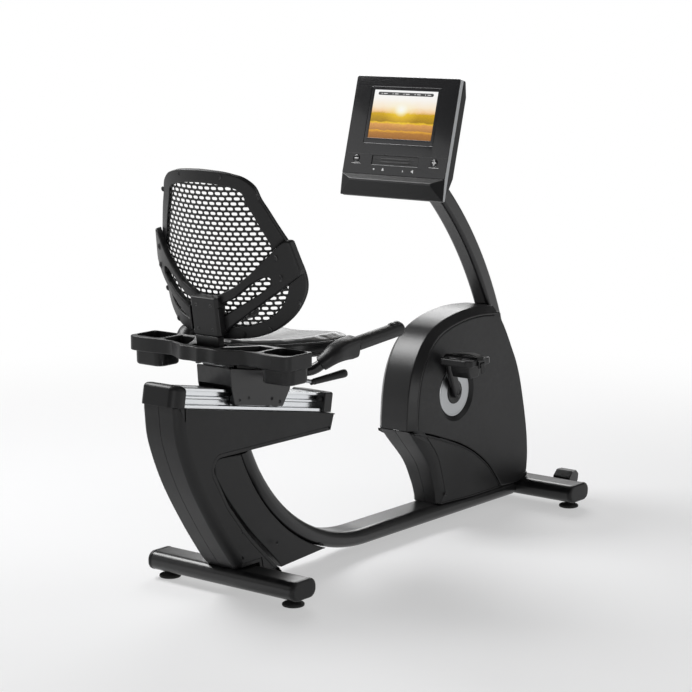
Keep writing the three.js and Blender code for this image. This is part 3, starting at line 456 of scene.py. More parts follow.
# Rubbed edges: a paler colour where the surface turns sharply, broken up by noise.
def wearGroup():
    tree, given, out = newGroup("edgeWear", [("Vector", "Vector", None),
                                             ("Color", "Color", (0.02, 0.02, 0.02, 1)),
                                             ("Worn", "Color", (0.1, 0.1, 0.1, 1)),
                                             ("Amount", "Float", 0.4)],
                                [("Color", "Color"), ("Mask", "Float")])
    shape = addNode(tree, "NewGeometry")
    sharp = addNode(tree, "MapRange", {"Value": shape.outputs["Pointiness"], "From Min": 0.52,
                                       "From Max": 0.62})
    noise = addNode(tree, "TexNoise", {"Vector": given.outputs["Vector"], "Scale": 60.0, "Detail": 5.0})
    broken = addNode(tree, "MapRange", {"Value": noise.outputs["Fac"], "From Min": 0.35, "From Max": 0.65})
    both = addNode(tree, "Math", {0: sharp.outputs[0], 1: broken.outputs[0]}, operation="MULTIPLY")
    mask = addNode(tree, "Math", {0: both.outputs[0], 1: given.outputs["Amount"]}, operation="MULTIPLY")
    mixed = addNode(tree, "Mix", {0: mask.outputs[0], 6: given.outputs["Color"], 7: given.outputs["Worn"]},
                    data_type="RGBA")
    tree.links.new(mixed.outputs[2], out.inputs["Color"])
    tree.links.new(mask.outputs[0], out.inputs["Mask"])
    return tree


# A thin film of dust on what faces up, and faint mottling everywhere.
def dustGroup():
    tree, given, out = newGroup("dustFilm", [("Vector", "Vector", None),
                                             ("Color", "Color", (0.02, 0.02, 0.02, 1)),
                                             ("Roughness", "Float", 0.5), ("Amount", "Float", 0.1)],
                                [("Color", "Color"), ("Roughness", "Float")])
    shape = addNode(tree, "NewGeometry")
    parts = addNode(tree, "SeparateXYZ", {0: shape.outputs["Normal"]})
    up = addNode(tree, "MapRange", {"Value": parts.outputs["Z"], "From Min": 0.3, "From Max": 1.0})
    noise = addNode(tree, "TexNoise", {"Vector": given.outputs["Vector"], "Scale": 35.0, "Detail": 6.0,
                                       "Roughness": 0.7})
    patches = addNode(tree, "MapRange", {"Value": noise.outputs["Fac"], "From Min": 0.4, "From Max": 0.75})
    film = addNode(tree, "Math", {0: up.outputs[0], 1: patches.outputs[0]}, operation="MULTIPLY")
    amount = addNode(tree, "Math", {0: film.outputs[0], 1: given.outputs["Amount"]}, operation="MULTIPLY")
    mixed = addNode(tree, "Mix", {0: amount.outputs[0], 6: given.outputs["Color"],
                                  7: (0.35, 0.34, 0.33, 1)}, data_type="RGBA")
    rough = addNode(tree, "Math", {0: amount.outputs[0], 1: 0.5, 2: given.outputs["Roughness"]},
                    operation="MULTIPLY_ADD")
    tree.links.new(mixed.outputs[2], out.inputs["Color"])
    tree.links.new(rough.outputs[0], out.inputs["Roughness"])
    return tree


grain, wear, dust = grainGroup(), wearGroup(), dustGroup()


def finish(name, color, roughness, metallic=0.0, scale=900.0, stretch=(1, 1, 1), bump=0.15, depth=0.0002,
           change=0.1, worn=(0.03, 0.03, 0.032), wearAmount=0.4, dustAmount=0.06, specular=0.5, coat=0.0,
           coatRoughness=0.1, sheen=0.0):
    material = bpy.data.materials.new(name)
    material.use_nodes = True
    tree = material.node_tree
    shader = tree.nodes["Principled BSDF"]
    where = addNode(tree, "TexCoord").outputs["Object"]
    skin = useGroup(tree, grain, {"Vector": where, "Scale": scale, "Stretch": stretch,
                                  "Roughness": roughness, "Change": change})
    edges = useGroup(tree, wear, {"Vector": where, "Color": (*color, 1), "Worn": (*worn, 1),
                                  "Amount": wearAmount})
    film = useGroup(tree, dust, {"Vector": where, "Color": edges.outputs["Color"],
                                 "Roughness": skin.outputs["Roughness"], "Amount": dustAmount})
    tree.links.new(film.outputs["Color"], shader.inputs["Base Color"])
    tree.links.new(film.outputs["Roughness"], shader.inputs["Roughness"])
    relief = addNode(tree, "Bump", {"Height": skin.outputs["Height"], "Strength": bump, "Distance": depth})
    tree.links.new(relief.outputs["Normal"], shader.inputs["Normal"])
    shader.inputs["Metallic"].default_value = metallic
    shader.inputs["Specular IOR Level"].default_value = specular
    shader.inputs["Coat Weight"].default_value = coat
    shader.inputs["Coat Roughness"].default_value = coatRoughness
    shader.inputs["Sheen Weight"].default_value = sheen
    return material


looks = {
    "paint": finish("satinPaint", (0.005, 0.005, 0.0055), 0.3, specular=0.4, scale=1400, bump=0.12,
                    coat=0.3, coatRoughness=0.25),
    "plastic": finish("blackPlastic", (0.006, 0.006, 0.0065), 0.4, specular=0.35, scale=1600, bump=0.22),
    "cover": finish("coverPlastic", (0.009, 0.009, 0.0095), 0.42, specular=0.32, scale=1500, bump=0.25,
                    dustAmount=0.04),
    "crown": finish("crownPlastic", (0.007, 0.007, 0.0075), 0.34, specular=0.45, scale=1500, bump=0.15,
                    dustAmount=0.04),
    "rubber": finish("rubber", (0.010, 0.010, 0.010), 0.75, scale=900, bump=0.4, dustAmount=0.2,
                     wearAmount=0.2),
    "grip": finish("gripFoam", (0.006, 0.006, 0.006), 0.42, specular=0.4, scale=1100, bump=0.3,
                   wearAmount=0.1),
    "rail": finish("railAluminium", (0.80, 0.82, 0.84), 0.22, metallic=1.0, scale=700, stretch=(0.03, 1, 1),
                   bump=0.08, worn=(0.9, 0.9, 0.9), wearAmount=0.3, dustAmount=0.02),
    "chrome": finish("chromePlate", (0.42, 0.43, 0.44), 0.3, metallic=1.0, scale=500, bump=0.03,
                     worn=(0.9, 0.9, 0.9), wearAmount=0.2, dustAmount=0.02),
    "steel": finish("machinedSteel", (0.45, 0.46, 0.48), 0.35, metallic=1.0, scale=800,
                    stretch=(1, 0.05, 1), bump=0.1, worn=(0.7, 0.7, 0.7)),
    "screw": finish("blackenedScrew", (0.02, 0.02, 0.021), 0.3, metallic=0.8, scale=1200, bump=0.1,
                    worn=(0.3, 0.3, 0.3)),
    "vinyl": finish("seatVinyl", (0.009, 0.009, 0.0095), 0.33, scale=420, bump=0.35, depth=0.0004,
                    wearAmount=0.1, dustAmount=0.03, sheen=0.1),
    "weave": finish("backWeave", (0.012, 0.012, 0.012), 0.6, scale=1800, stretch=(1, 1, 0.4), bump=0.4,
                    wearAmount=0.1),
    "gloss": finish("consoleGloss", (0.008, 0.008, 0.009), 0.12, scale=300, bump=0.02, change=0.03,
                    wearAmount=0.1, dustAmount=0.02, coat=0.6, coatRoughness=0.06),
    "trim": finish("paleTrim", (0.42, 0.43, 0.44), 0.35, scale=1400, bump=0.12, worn=(0.55, 0.55, 0.55)),
    "mark": finish("paleMark", (0.62, 0.62, 0.62), 0.5, scale=1400, bump=0.05, worn=(0.7, 0.7, 0.7),
                   wearAmount=0.1),
    # Near-black for painted shade: strips stand in for the shade inside the speaker slots and vents and
    # along the console's fold. It also prints the screen's status strip.
    "slot": finish("paintedShadeAndPrintBlack", (0.003, 0.003, 0.003), 0.6, scale=1400, bump=0.1, wearAmount=0.0),
}
print("finishes:", len(looks))

# Cross feet.
feet = {
    "rear": {"x": 0, "length": 500, "depth": 92, "height": 50, "corner": 22},
    "front": {"x": 1292, "length": 496, "depth": 100, "height": 52, "corner": 23},
}
footCap = {"thickness": 12, "round": 6, "clearance": 22, "inset": 38}


def footSection(foot, trim=0.0):
    middle = footCap["clearance"] + foot["height"] / 2
    return rectangle(foot["depth"] - 2 * trim, foot["height"] - 2 * trim, foot["corner"] - trim,
                     (foot["x"], middle), 8)


def levellingFoot(foot, y):
    place = facing((foot["x"], y, 0), (0, 0, 1))
    pad = [(0, 0), (25, 0), (28, 1.2), (29, 3.5), (28.6, 6.5), (26, 8.6), (21, 9.8), (14, 10.6), (9, 13),
           (6.5, 14), (6, 15), (6, 30), (0, 30)]
    nut = lathe([(0, 14.5), (10.6, 14.5), (11.4, 15.3), (11.4, 20.4), (10.6, 21.2), (0, 21.2)], place, 6)
    return merge(lathe(pad, place, 36), nut)


for end, foot in feet.items():
    half = foot["length"] / 2 - footCap["thickness"] - 0.4
    beam = slab(footSection(foot), -half, half, 0.8, across, steps=2)
    if end == "rear":
        piece("rear_foot_beam", beam, looks["paint"], "root", ["rear_foot"])
    for side, sign in sides:
        lid = slab(footSection(foot, -0.6), half + 0.6, foot["length"] / 2, footCap["round"], across,
                   rimLow=0.6)
        cap = onSide(lid, sign)
        name = f"{end}_foot_cap_{side}"
        piece(f"{end}_cap_lid_{side}", cap, looks["plastic"], "root", [name])
        y = sign * (foot["length"] / 2 - footCap["inset"])
        piece(f"{end}_levelling_foot_{side}", levellingFoot(foot, y), looks["rubber"],
              f"leveler_{end}_{side}", [f"leveler_{end}_{side}"])
    if end == "front":
        frontBeam = beam

wheelSize = {"x": 1366, "z": 68, "y": 156, "radius": 22, "width": 48}


def wheelHousing():
    shape = roundCorners([(1334, 30), (1334, 76), (1353, 93), (1372, 93), (1384, 82), (1381, 62),
                          (1358, 40)], 8, 5)
    cheekLow = wheelSize["y"] - wheelSize["width"] / 2 - 5.4
    cheekHigh = cheekLow + wheelSize["width"] + 5.8
    
    cheeks = [slab(shape, cheekLow, cheekLow + 5, 1.2, across, steps=2),
              slab(shape, cheekHigh, cheekHigh + 5, 1.2, across, steps=2)]
    roof = roundCorners([(1334, 60), (1334, 76), (1353, 93), (1376, 93), (1376, 90.6), (1352, 90.6),
                         (1340, 79), (1340, 60)], 0.8, 2)
    cheeks.append(slab(roof, cheekLow + 3, cheekHigh + 2.2, 0.5, across, steps=2))
    bolt = lathe([(0, -3), (6, -3), (6, 0), (5, 1.4), (0, 1.4)],
                 facing((wheelSize["x"], cheekLow, wheelSize["z"]), (0, -1, 0)), 20)
    return merge(*cheeks, bolt)


piece("front_foot_beam", merge(frontBeam, both(wheelHousing())), looks["paint"], "root",
      ["front_foot"])


def wheelShape():
    place = facing((wheelSize["x"], wheelSize["y"], wheelSize["z"]), (0, 1, 0))
    h, r = wheelSize["width"] / 2, wheelSize["radius"]
    tread = [(r - 3, h), (r - 1, h - 0.8), (r, h - 3)]
    grooves = [p for g in (12, 0, -12) for p in ((r, g + 2), (r - 1.6, g + 1), (r - 1.6, g - 1),
                                                 (r, g - 2))]
    profile = [(5, h - 2), (12, h - 2), (14, h)] + tread + grooves
    profile += [(r, 3 - h), (r - 1, 0.8 - h), (r - 3, -h), (14, -h), (12, 2 - h), (5, 2 - h), (5, h - 2)]
    return lathe(profile, place, 40)


for side, sign in sides:
    wheelPart = onSide(wheelShape(), sign)
    piece(f"wheel_{side}", wheelPart, looks["rubber"], f"transport_wheel_{side}",
          [f"transport_wheel_{side}"])
print("feet done")

# Main tube and mast.
tube = {"width": 102, "height": 45, "corner": 20, "middle": 44, "bendX": 521, "radius": 550, "front": 1241}
mast = {"width": 56, "depth": 51, "corner": 12, "radius": 1096, "x": 153, "z": 159, "from": -4.3,
        "to": 55.9}

bendZ = tube["middle"] + tube["radius"]
straight = [(x, tube["middle"]) for x in np.linspace(tube["front"], tube["bendX"], 9)]
rise = arc(tube["bendX"], bendZ, tube["radius"], 1.5 * pi, 1.5 * pi - math.radians(66.5), 40)[1:]
tubeLine = [(x, 0, z) for x, z in straight + rise]
tubeSection = rectangle(tube["width"], tube["height"], tube["corner"], steps=8)
piece("frame_tube", sweep(tubeSection, tubeLine), looks["paint"], "root", ["main_tube"])
mastLine = arc(mast["x"], mast["z"], mast["radius"], math.radians(mast["from"]), math.radians(mast["to"]),
               60)
mastSection = rectangle(mast["width"], mast["depth"], mast["corner"], steps=6)
mastPart = sweep(mastSection, [(x, 0, z) for x, z in mastLine])
piece("console_mast", mastPart, looks["paint"], "root", ["mast"])
print("tube and mast done")

# Rear leg covers and filler.
rearCover = {"half": 60, "wall": 4, "cornerIn": 29, "cornerAcross": 15, "lip": 8, "groove": 1.3}
legRear = [(-258, 528.5), (-257, 505), (-246, 430), (-200, 318), (-129, 200), (-58, 100), (-33, 73.5)]


def rearCoverPart():
    rear = spline(legRear, 7)
    inner = spline([(140, 34), (128, 45), (88, 83), (10, 159), (-66, 250)], 6)
    corner = roundCorners([(-66, 250), (-138, 376), (344, 373)], [0, 26, 0], 8)[1:-1]
    nose = roundCorners([(-138, 374), (344, 373), (359.9, 418), legRear[0]], [0, 5, 1, 0], 4)[1:-1]
    bottom = [(46, 74), (52, 46), (60, 34)]
    outline = rear + bottom + inner + corner + nose
    loop = evenly(turned(outline), 14)
    p = np.array(loop)
    
    isRear = howFar(loop, spline(legRear, 24)) < 3
    topLine = rail["height"] - p[:, 0] * math.tan(rail["tilt"])
    isTop = np.abs(p[:, 1] - topLine) < 3
    side = np.where(isRear, rearCover["cornerIn"], np.where(isTop, 0.6, rearCover["lip"]))
    grooved = np.where(isTop | isRear, 0.0, rearCover["groove"])
    high, depth, wall = rearCover["half"], rearCover["cornerAcross"], rearCover["wall"]
    small = np.where(isRear, 1.0, np.where(isTop, 0.02, 0.12))
    rings = [[(side * 0.7 + wall, high - wall)], [(wall + 2, high - depth - 4)], [(wall, 0.3)],
             [(0.8, 0.3)], [(0.0, 1.1)], [(0.0, high - depth)]]
    for a in np.linspace(0.2, pi / 2, 6):
        rings.append([(rearCover["cornerIn"] * small * (1 - math.cos(a)),
                       high - depth + depth * math.sin(a) - grooved)])
    edge = rearCover["cornerIn"] * small
    inward = np.where(isRear, 2.0, np.where(isTop, 0.3, rearCover["lip"]))
    rings += [[(edge + inward, high - grooved)], [(edge + inward + 0.5, high - grooved * 1.9)],
              [(edge + inward + 1.6, high - grooved * 1.9)], [(edge + inward + 2.1, high)]]
    return shell([loop], rings, across)


coverPart = rearCoverPart()
for side, sign in sides:
    part = onSide(coverPart, sign)
    piece(f"leg_cover_{side}", part, looks["cover"], "root", [f"rear_cover_{side}"])


def fillerPart():
    under = tube["radius"] + tube["height"] / 2 + 1.6
    tubeSide = arc(tube["bendX"], bendZ, under, 1.5 * pi - 0.325, 1.5 * pi - 1.17, 26)
    leg = spline([(-106, 330), (-54, 254), (22, 166), (99, 92), (142, 50)], 6)
    outline = tubeSide + [np.array((-90, 374)), np.array((-108, 366))] + leg + [np.array((152, 38))]
    return slab(outline, -48, 48, 4, across, steps=3, spacing=16)


piece("leg_filler", fillerPart(), looks["cover"], "root", ["rear_filler"])

coverScrews = [screwAt((x, -60, z), (0, -1, 0), 3.6) for x, z in [(118, 112), (-20, 168)]]
coverScrews += [screwAt((312, -47.4, 66), (0, -1, 0), 3.6)]
piece("leg_cover_screws", both(merge(*coverScrews)), looks["screw"], "root")
print("rear leg done")

# Seat rail, its caps and bumpers.
railShape = {"half": 30, "ledge": 50, "flange": 42, "top": 50, "bottom": -9.6}


def railPart():
    web, ledge, flange, top = railShape["half"], railShape["ledge"], railShape["flange"], railShape["top"]
    half = [(web, railShape["bottom"]), (web, 0.4), (ledge, 0.4), (ledge, 9), (web, 9), (web, 22),
            (web + 4.5, 23.5), (web + 4.5, 29.5), (web, 31), (web, top - 8), (flange, top - 7),
            (flange, top)]
    outline = half + [(-y, n) for y, n in reversed(half)]
    section = roundCorners(outline, 1.0, 2)
    hole = roundCorners([(24, 3), (24, 38), (-24, 38), (-24, 3)], 3, 3)
    groove = [slab(rectangle(2.0, 1.2, 0.4, (y, top + 0.1), 1), rail["from"] + 2, rail["to"] - 2, 0.2,
                   railSection, steps=1) for y in (-26, 26)]
    return merge(slab(section, rail["from"], rail["to"], 0.5, railSection, [hole], steps=1), *groove)


piece("slide_rail", railPart(), looks["rail"], "root", ["seat_rail"], crease=40)


def rearCapPart():
    plan = [(-231.5, 58.5), (-242, 59)] + [np.array((-242 - 33 * math.sin(a), 38 + 21 * math.cos(a)))
                                          for a in np.linspace(0.15, pi / 2, 9)]
    outline = [np.array(p, float) for p in plan] + mirrored(plan)
    body = slab(outline, 0.5, 55, 13, railPlan, rimLow=0.8, steps=6)
    arch = roundCorners([(-58, 0.5), (58, 0.5), (58, 54), (-58, 54)], [0, 0, 20, 20], 8)
    collar = slab([(y * 0.985, n) for y, n in arch], -232.5, -229, 1, railSection,
                  [rectangle(86, 52, 4, (0, 24), 3)])
    return merge(body, collar)


def frontCapPart():
    outline = roundCorners([(317.6, -58), (361, -55), (361, 55), (317.6, 58)], [2, 14, 14, 2], 6)
    return slab(outline, 0.5, 54, 6, railPlan, rimLow=0.8, steps=4)


def bumpersPart(s, way):
    turnedBack = [facing(onRail(s, 33, y),
                         np.array(onRail(1, 0, 0)) * way - np.array(onRail(0, 0, 0)) * way)
                  for y in (-43, 43)]
    profile = [(0, -2), (7, -2), (7, 6), (6, 9), (4.5, 10.5), (3, 10.8), (2.4, 9.8), (0, 9.6)]
    return merge(*[lathe(profile, place, 24) for place in turnedBack])


piece("rail_end_rear", rearCapPart(), looks["plastic"], "root", ["rail_cap_rear"])
piece("rail_end_front", frontCapPart(), looks["plastic"], "root", ["rail_cap_front"])
piece("rail_bumpers", merge(bumpersPart(-230, 1), bumpersPart(316, -1)), looks["rubber"], "root")
print("rail done")

# Carriage and its rollers.
carriage = {"half": 57, "plate": 3, "top": 103.6}
rollers = {"rear": -25, "front": 133, "radius": 16, "inner": 36, "width": 12, "height": 25.5}


def carriagePart():
    half, plate, top = carriage["half"], carriage["plate"], carriage["top"]
    outline = [(-43, 13), (147, 13), (168, 58), (173, top), (-75, top), (-63, 58)]
    cheek = slab(roundCorners(outline, [6, 6, 8, 3, 3, 8], 4), half - plate, half, 0.8, onRail, steps=2)
    flangeTop = slab(roundCorners([(-75, -56), (172, -56), (172, 56), (-75, 56)], 2, 2), top - 3, top + 0.2,
                     0.8, railPlan)
    rear = slab(roundCorners([(-64, 60), (-61, 60), (-71, 103), (-74, 103)], 0.6, 1), -55, 55, 0.4, onRail,
                steps=1)
    guide = slab(rectangle(20, 8, 1.5, (129.2, 66), 2), -55.5, 55.5, 0.3, onRail, [], steps=1)
    rib = slab(roundCorners([(40, 56), (48, 56), (48, 100), (40, 100)], 1, 1), -54.5, 54.5, 0.3, onRail,
               steps=1)
    axles = [lathe([(0, 37), (4, 37), (4, 54.5), (0, 54.5)],
                   lambda a, b, h, s=s: onRail(s + a, rollers["height"] + b, h), 20)
             for s in (rollers["rear"], rollers["front"])]
    return merge(both(merge(cheek, *axles)), flangeTop, rear, guide, rib)


piece("seat_carriage", carriagePart(), looks["paint"], "seat", ["carriage"])
carriageScrews = [screwAt(onRail(s, n, -carriage["half"]), (0, -1, 0), 3.4)
                  for s, n in [(-25, 25), (9, 32), (100, 32), (133, 25)]]
piece("carriage_screws", both(merge(*carriageScrews)), looks["screw"], "seat")


def rollerPart(s, sign):
    h, r = rollers["width"] / 2, rollers["radius"]
    
    place = facing(onRail(s, rollers["height"], sign * (rollers["inner"] + h)), (0, 1, 0))
    profile = [(4.6, -h), (8, -h), (8.5, 1.5 - h), (12, 1.5 - h), (12.5, -h), (r - 1, -h), (r, 1.2 - h),
               (r, h - 1.2), (r - 1, h), (12.5, h), (12, h - 1.5), (8.5, h - 1.5), (8, h), (4.6, h),
               (4.6, -h)]
    return lathe(profile, place, 36)


for end in ("rear", "front"):
    for side, sign in sides:
        name = f"roller_{end}_{side}"
        piece(f"carriage_{name}", rollerPart(rollers[end], sign), looks["plastic"], name,
              [name])


def leverPart():
    s0, n0 = 93.8, 90.3
    elbow = onRail(s0 + 24, n0 - 1, -171)
    tip = onRail(s0 + 122, n0 + 28, -197)
    line = [onRail(s0, n0, 52), onRail(s0, n0, -60), onRail(s0, n0, -120), onRail(s0 + 0.4, n0, -150),
            onRail(s0 + 4, n0, -161), onRail(s0 + 13, n0 - 0.4, -167), elbow]
    rod = sweep(circle(5, steps=20), spline(line, 4), start=(1, 0, 0))
    way = Vector(tip) - Vector(elbow)
    place = facing(elbow, way)
    far = way.length
    profile = [(0, -8), (6.2, -8), (7.2, -7), (7.2, 2), (8.3, 3), (8.4, 5), (8.2, 7), (8.8, 26), (10, 70),
               (11, far - 12), (11, far - 5), (9.8, far - 1.6), (7.4, far), (0, far + 0.6)]
    knob = lathe(profile, place, 36)
    finger = slab(roundCorners([(89.8, 80.4), (102, 80.4), (102, 84.3), (97.8, 90), (89.8, 90)], 1, 2), -6,
                  6, 0.6, onRail)
    return rod, knob, finger


leverRod, leverKnob, leverFinger = leverPart()
piece("lever_rod", merge(leverRod, leverFinger), looks["steel"], "lock_lever",
      ["lock_lever"])
piece("lever_grip", leverKnob, looks["grip"], "lock_lever")
print("carriage done")

# Tray with cup wells and pockets.
tray = {"rim": 654.5, "skirt": 617, "cupFloor": 578, "half": 268, "wall": 3}
cup = {"x": -31.5, "y": 215, "length": 85, "width": 98, "corner": 24}


def trayOutline():
    rear = spline([(-118, 0), (-113, 28), (-115, 59), (-98, 92), (-82, 122), (-84, 155), (-89, 190),
                   (-91, 222)], 5)
    rest = roundCorners([(-91, 222), (-89, 268), (15, 268), (15, 104), (-50, 51), (-52, 0)],
                        [0, 24, 10, 5, 4, 0], 7)
    side = rear[:-1] + rest[:-1]
    return side + [np.array((-52, 0))] + mirrored(side[1:])


def cupPart():
    def ring(inset, z):
        shape = rectangle(cup["length"] - 2 * inset, cup["width"] - 2 * inset,
                          max(4, cup["corner"] - inset), (cup["x"], cup["y"]), 7)
        return [(x, y, z) for x, y in shape]
    floor, rim, wall = tray["cupFloor"], tray["rim"], tray["wall"]
    inside = [(26, floor + wall), (wall + 9, floor + wall), (wall + 3.5, floor + wall + 1.2),
              (wall + 0.8, floor + 7), (wall, floor + 12), (wall - 0.4, rim - 1.5)]
    top = [(wall - 0.9, rim + 0.3), (wall - 2.2, rim + 0.7), (wall - 3.6, rim + 0.3),
           (wall - 4.0, rim - 1.2)]
    outside = [(wall - 4.0, rim - 3), (-0.2, tray["skirt"] - 2), (0.4, floor + 8), (1.6, floor + 3.4),
               (4.6, floor + 0.8), (9, floor), (26, floor)]
    return loft([ring(i, z) for i, z in inside + top + outside])


def wedgePart():
    corners = [(-3, 110), (-44, 80), (-98, 50), (-78, 118), (-72, 158), (-3, 158)]
    loop = roundCorners(corners, [5, 12, 5, 16, 10, 8], 5)
    middle = np.mean(np.array(loop), axis=0)

    def ring(inset, z, shrink=1.0):
        return [(*(middle + (p - middle) * shrink), z) for p in offset(turned(loop), inset)]
    floor = tray["skirt"] + 5
    rows = [ring(11, floor, 0.7), ring(7, floor), ring(4, floor + 2), ring(1.6, floor + 12),
            ring(0.2, tray["rim"] - 1.2), ring(-1.0, tray["rim"] + 0.25), ring(-2.4, tray["rim"] + 0.1),
            ring(-2.6, tray["rim"] - 2), ring(-1, floor - 3), ring(6, floor - 4), ring(11, floor - 4, 0.7)]
    return loop, loft(rows)


def trayPart():
    wedge, pocket = wedgePart()
    cupHole = rectangle(cup["length"] - 2, cup["width"] - 2, cup["corner"] - 1, (cup["x"], cup["y"]), 7)
    notch = [(-92, -41), (-46, -41), (-46, 41), (-92, 41)]
    holes = [cupHole, mirrored(cupHole), wedge, mirrored(wedge), roundCorners(notch, 3, 3)]
    body = slab(trayOutline(), tray["skirt"], tray["rim"], 2.2, upright, holes, rimLow=3.5, steps=4,
                spacing=12)
    leg = slab(rectangle(12, 10, 1.5, (-58, 49), 2), 601.5, tray["skirt"] + 3, 0.4, upright, steps=1)
    return merge(body, both(merge(cupPart(), pocket, leg)))


piece("storage_tray", trayPart(), looks["plastic"], "seat", ["tray"])
print("tray done")

# Back: post, bracket, rim and mesh.
rimHalf = [(0, 404), (40, 402), (75, 398), (99, 392), (118, 386), (136, 374), (150, 357), (159, 329),
           (172, 301), (186, 268), (198, 240), (215, 200), (229, 157), (235, 111), (228, 72), (207, 32),
           (172, 0), (128, -19), (60, -28), (0, -30)]


def twoSided(half, steps):
    line = spline(half, steps)
    return line + [np.array((-y, z)) for y, z in line[-2:0:-1]]


rimLoop = turned(twoSided(rimHalf, 5))
rimWidth = 33


def backRim():
    inner = offset(rimLoop, rimWidth)
    
    smoothed = [(inner[i - 1] + inner[i] * 2 + inner[(i + 1) % len(inner)]) / 4 for i in range(len(inner))]
    rear = slab(rimLoop, 4.6, 12, 3.2, behindBack, [smoothed], rimLow=0.5, steps=4)
    front = slab(list(offset(rimLoop, -0.4)), 0, 4.2, 3, behindBack,
                 [list(offset(turned(smoothed, False), -0.5))], rimLow=2.6, steps=4)
    lip = offset(rimLoop, rimWidth - 2)
    bead = sweep(circle(2.2, steps=10), [behindBack(y, z, 6) for y, z in list(lip) + [lip[0]]],
                 start=(1, 0, 0))
    return rear, front, bead


rearRim, frontRim, rimBead = backRim()
piece("back_rim", merge(rearRim, rimBead), looks["plastic"], "seat", ["back_frame"])
piece("back_rim_front", frontRim, looks["cover"], "seat")

cells = {"across": 20.4, "up": 12.7, "slotAcross": 15.6, "slotUp": 7.6, "corner": 3.3, "front": 4,
         "thick": 2.8}


# Rows of rounded slots, every other row moved half a pitch, in one curved sheet.
def backMeshPart():
    w, h = cells["across"] / 2, cells["up"] / 2
    limit = [tuple(p) for p in offset(rimLoop, 14)]
    cellEdge = [(w, -h), (w, -h / 2), (w, 0), (w, h / 2), (w, h), (w / 2, h), (0, h), (-w / 2, h), (-w, h),
                (-w, h / 2), (-w, 0), (-w, -h / 2), (-w, -h), (-w / 2, -h), (0, -h), (w / 2, -h)]
    slotW, slotH, r = cells["slotAcross"] / 2, cells["slotUp"] / 2, cells["corner"]

    def slotPoint(direction, grow):
        a, b, c = slotW + grow, slotH + grow, r + grow
        u, v = direction
        u, v = np.clip(u / w, -1, 1) * a, np.clip(v / h, -1, 1) * b
        cx, cy = np.clip(u, c - a, a - c), np.clip(v, c - b, b - c)
        d = math.hypot(u - cx, v - cy)
        return (cx + (u - cx) * c / d, cy + (v - cy) * c / d) if d > c else (u, v)
    thick = cells["thick"]
    layers = [("edge", 0, 0.4), ("slot", 0.9, 0.0), ("slot", 0.0, 0.9), ("slot", 0.0, thick - 0.9),
              ("slot", 0.9, thick), ("edge", 0, thick - 0.4)]
    points, faces = [], []

    row = 0
    z = -24.0
    while z < 400:
        shift = cells["across"] / 2 if row % 2 else 0
        for column in range(-13, 14):
            y = column * cells["across"] + shift
            if isInside(limit, [(y, z)])[0]:
                base = len(points)
                for kind, grow, depth in layers:
                    for corner in cellEdge:
                        u, v = corner if kind == "edge" else slotPoint(corner, grow)
                        points.append(behindBack(y + u, z + v, cells["front"] + depth))
                n = len(cellEdge)
                for k in range(len(layers) - 1):
                    faces += [(base + k * n + i, base + k * n + (i + 1) % n,
                               base + (k + 1) * n + (i + 1) % n, base + (k + 1) * n + i) for i in range(n)]
        row += 1
        z += cells["up"]
    return points, faces


piece("back_mesh_panel", backMeshPart(), looks["weave"], "seat", ["back_mesh"], crease=50,
      weighted=False)


def bracketPart():
    arm = [(0, 70), (41, 92), (86, 113), (129, 146), (160, 175), (202, 217), (213, 226), (224, 224),
           (239, 150), (237, 137), (193, 100), (145, 65), (90, 26), (40, -10), (0, -10)]
    outer = roundCorners(arm + [(-y, z) for y, z in arm[-2:0:-1]],
                         [0, 30, 40, 40, 30, 0, 6, 7, 10, 10, 30, 30, 30, 0, 0] +
                         [0, 0, 30, 30, 30, 10, 10, 7, 6, 0, 30, 40, 40, 30][:len(arm) - 2], 5)
    window = [(44, 66), (83, 84), (126, 118), (156, 134), (175, 138), (178, 120), (153, 99), (122, 79),
              (80, 56), (39, 32)]
    hole = roundCorners(window, [5, 20, 20, 12, 7, 7, 12, 20, 20, 6], 4)
    arms = slab(outer, 12.4, 29, 4.5, behindBack, [hole, [np.array((-y, z)) for y, z in hole]], rimLow=1,
                steps=4, grid=14, spacing=9)
    block = roundCorners([(-13.5, -44), (-13.5, 44), (-38, 46), (-45, 38), (-45, -38), (-38, -46)],
                         [2, 2, 4, 4, 4, 4], 4)
    middle = slab([(-x, y) for x, y in block], -14, 86, 4, lambda d, y, up: straightBack(y, up, d), steps=3)
    ribs = [slab(roundCorners([(y - 2, -2), (y + 2, -2), (y + 2, 60), (y - 2, 60)], 1.5, 2), 26, 44, 1,
                 straightBack, steps=2) for y in (-48, 48)]
    return merge(arms, middle, *ribs)


piece("back_support", bracketPart(), looks["plastic"], "seat", ["back_bracket"], crease=28)


def backNormal(y, up):
    a, b = np.array(behindBack(y, up, 10)), np.array(behindBack(y, up, 20))
    return b - a


backScrews = []
for y, up, depth, size in [(192, 184, 29, 7), (198, 134, 29, 7), (220, 61, 12, 6), (152, -2, 12, 6),
                           (86, -14, 12, 6), (157, 337, 12, 5), (66, 388, 12, 5)]:
    backScrews.append(screwAt(behindBack(y, up, depth), backNormal(y, up), size, 0.3))
blockScrews = [screwAt(straightBack(y, up, 45),
                       np.array(straightBack(0, 0, 1)) - np.array(straightBack(0, 0, 0)), 3)
               for y, up in [(24, 66), (24, 4)]]
piece("back_screws", both(merge(*backScrews, *blockScrews)), looks["screw"], "seat")


def postPart():
    def foot(x):
        return (x, rail["height"] + (104.4 - x * math.sin(rail["tilt"])) / math.cos(rail["tilt"]))
    top = [straightBack(0, -14.6, d) for d in (21, 45)]
    outline = [foot(-54), foot(-20), (-20, foot(-20)[1] + 9), (-42, foot(-42)[1] + 9),
               (top[0][0], top[0][2] - 44), (top[0][0], top[0][2]), (top[1][0], top[1][2]),
               (top[1][0] + 6, top[1][2] - 40)]
    return slab(roundCorners(outline, [1, 1, 2, 6, 6, 1, 1, 6], 3), -38, 38, 2.5, across, steps=3)


piece("seat_post", postPart(), looks["paint"], "seat", ["back_post"])
print("back done")

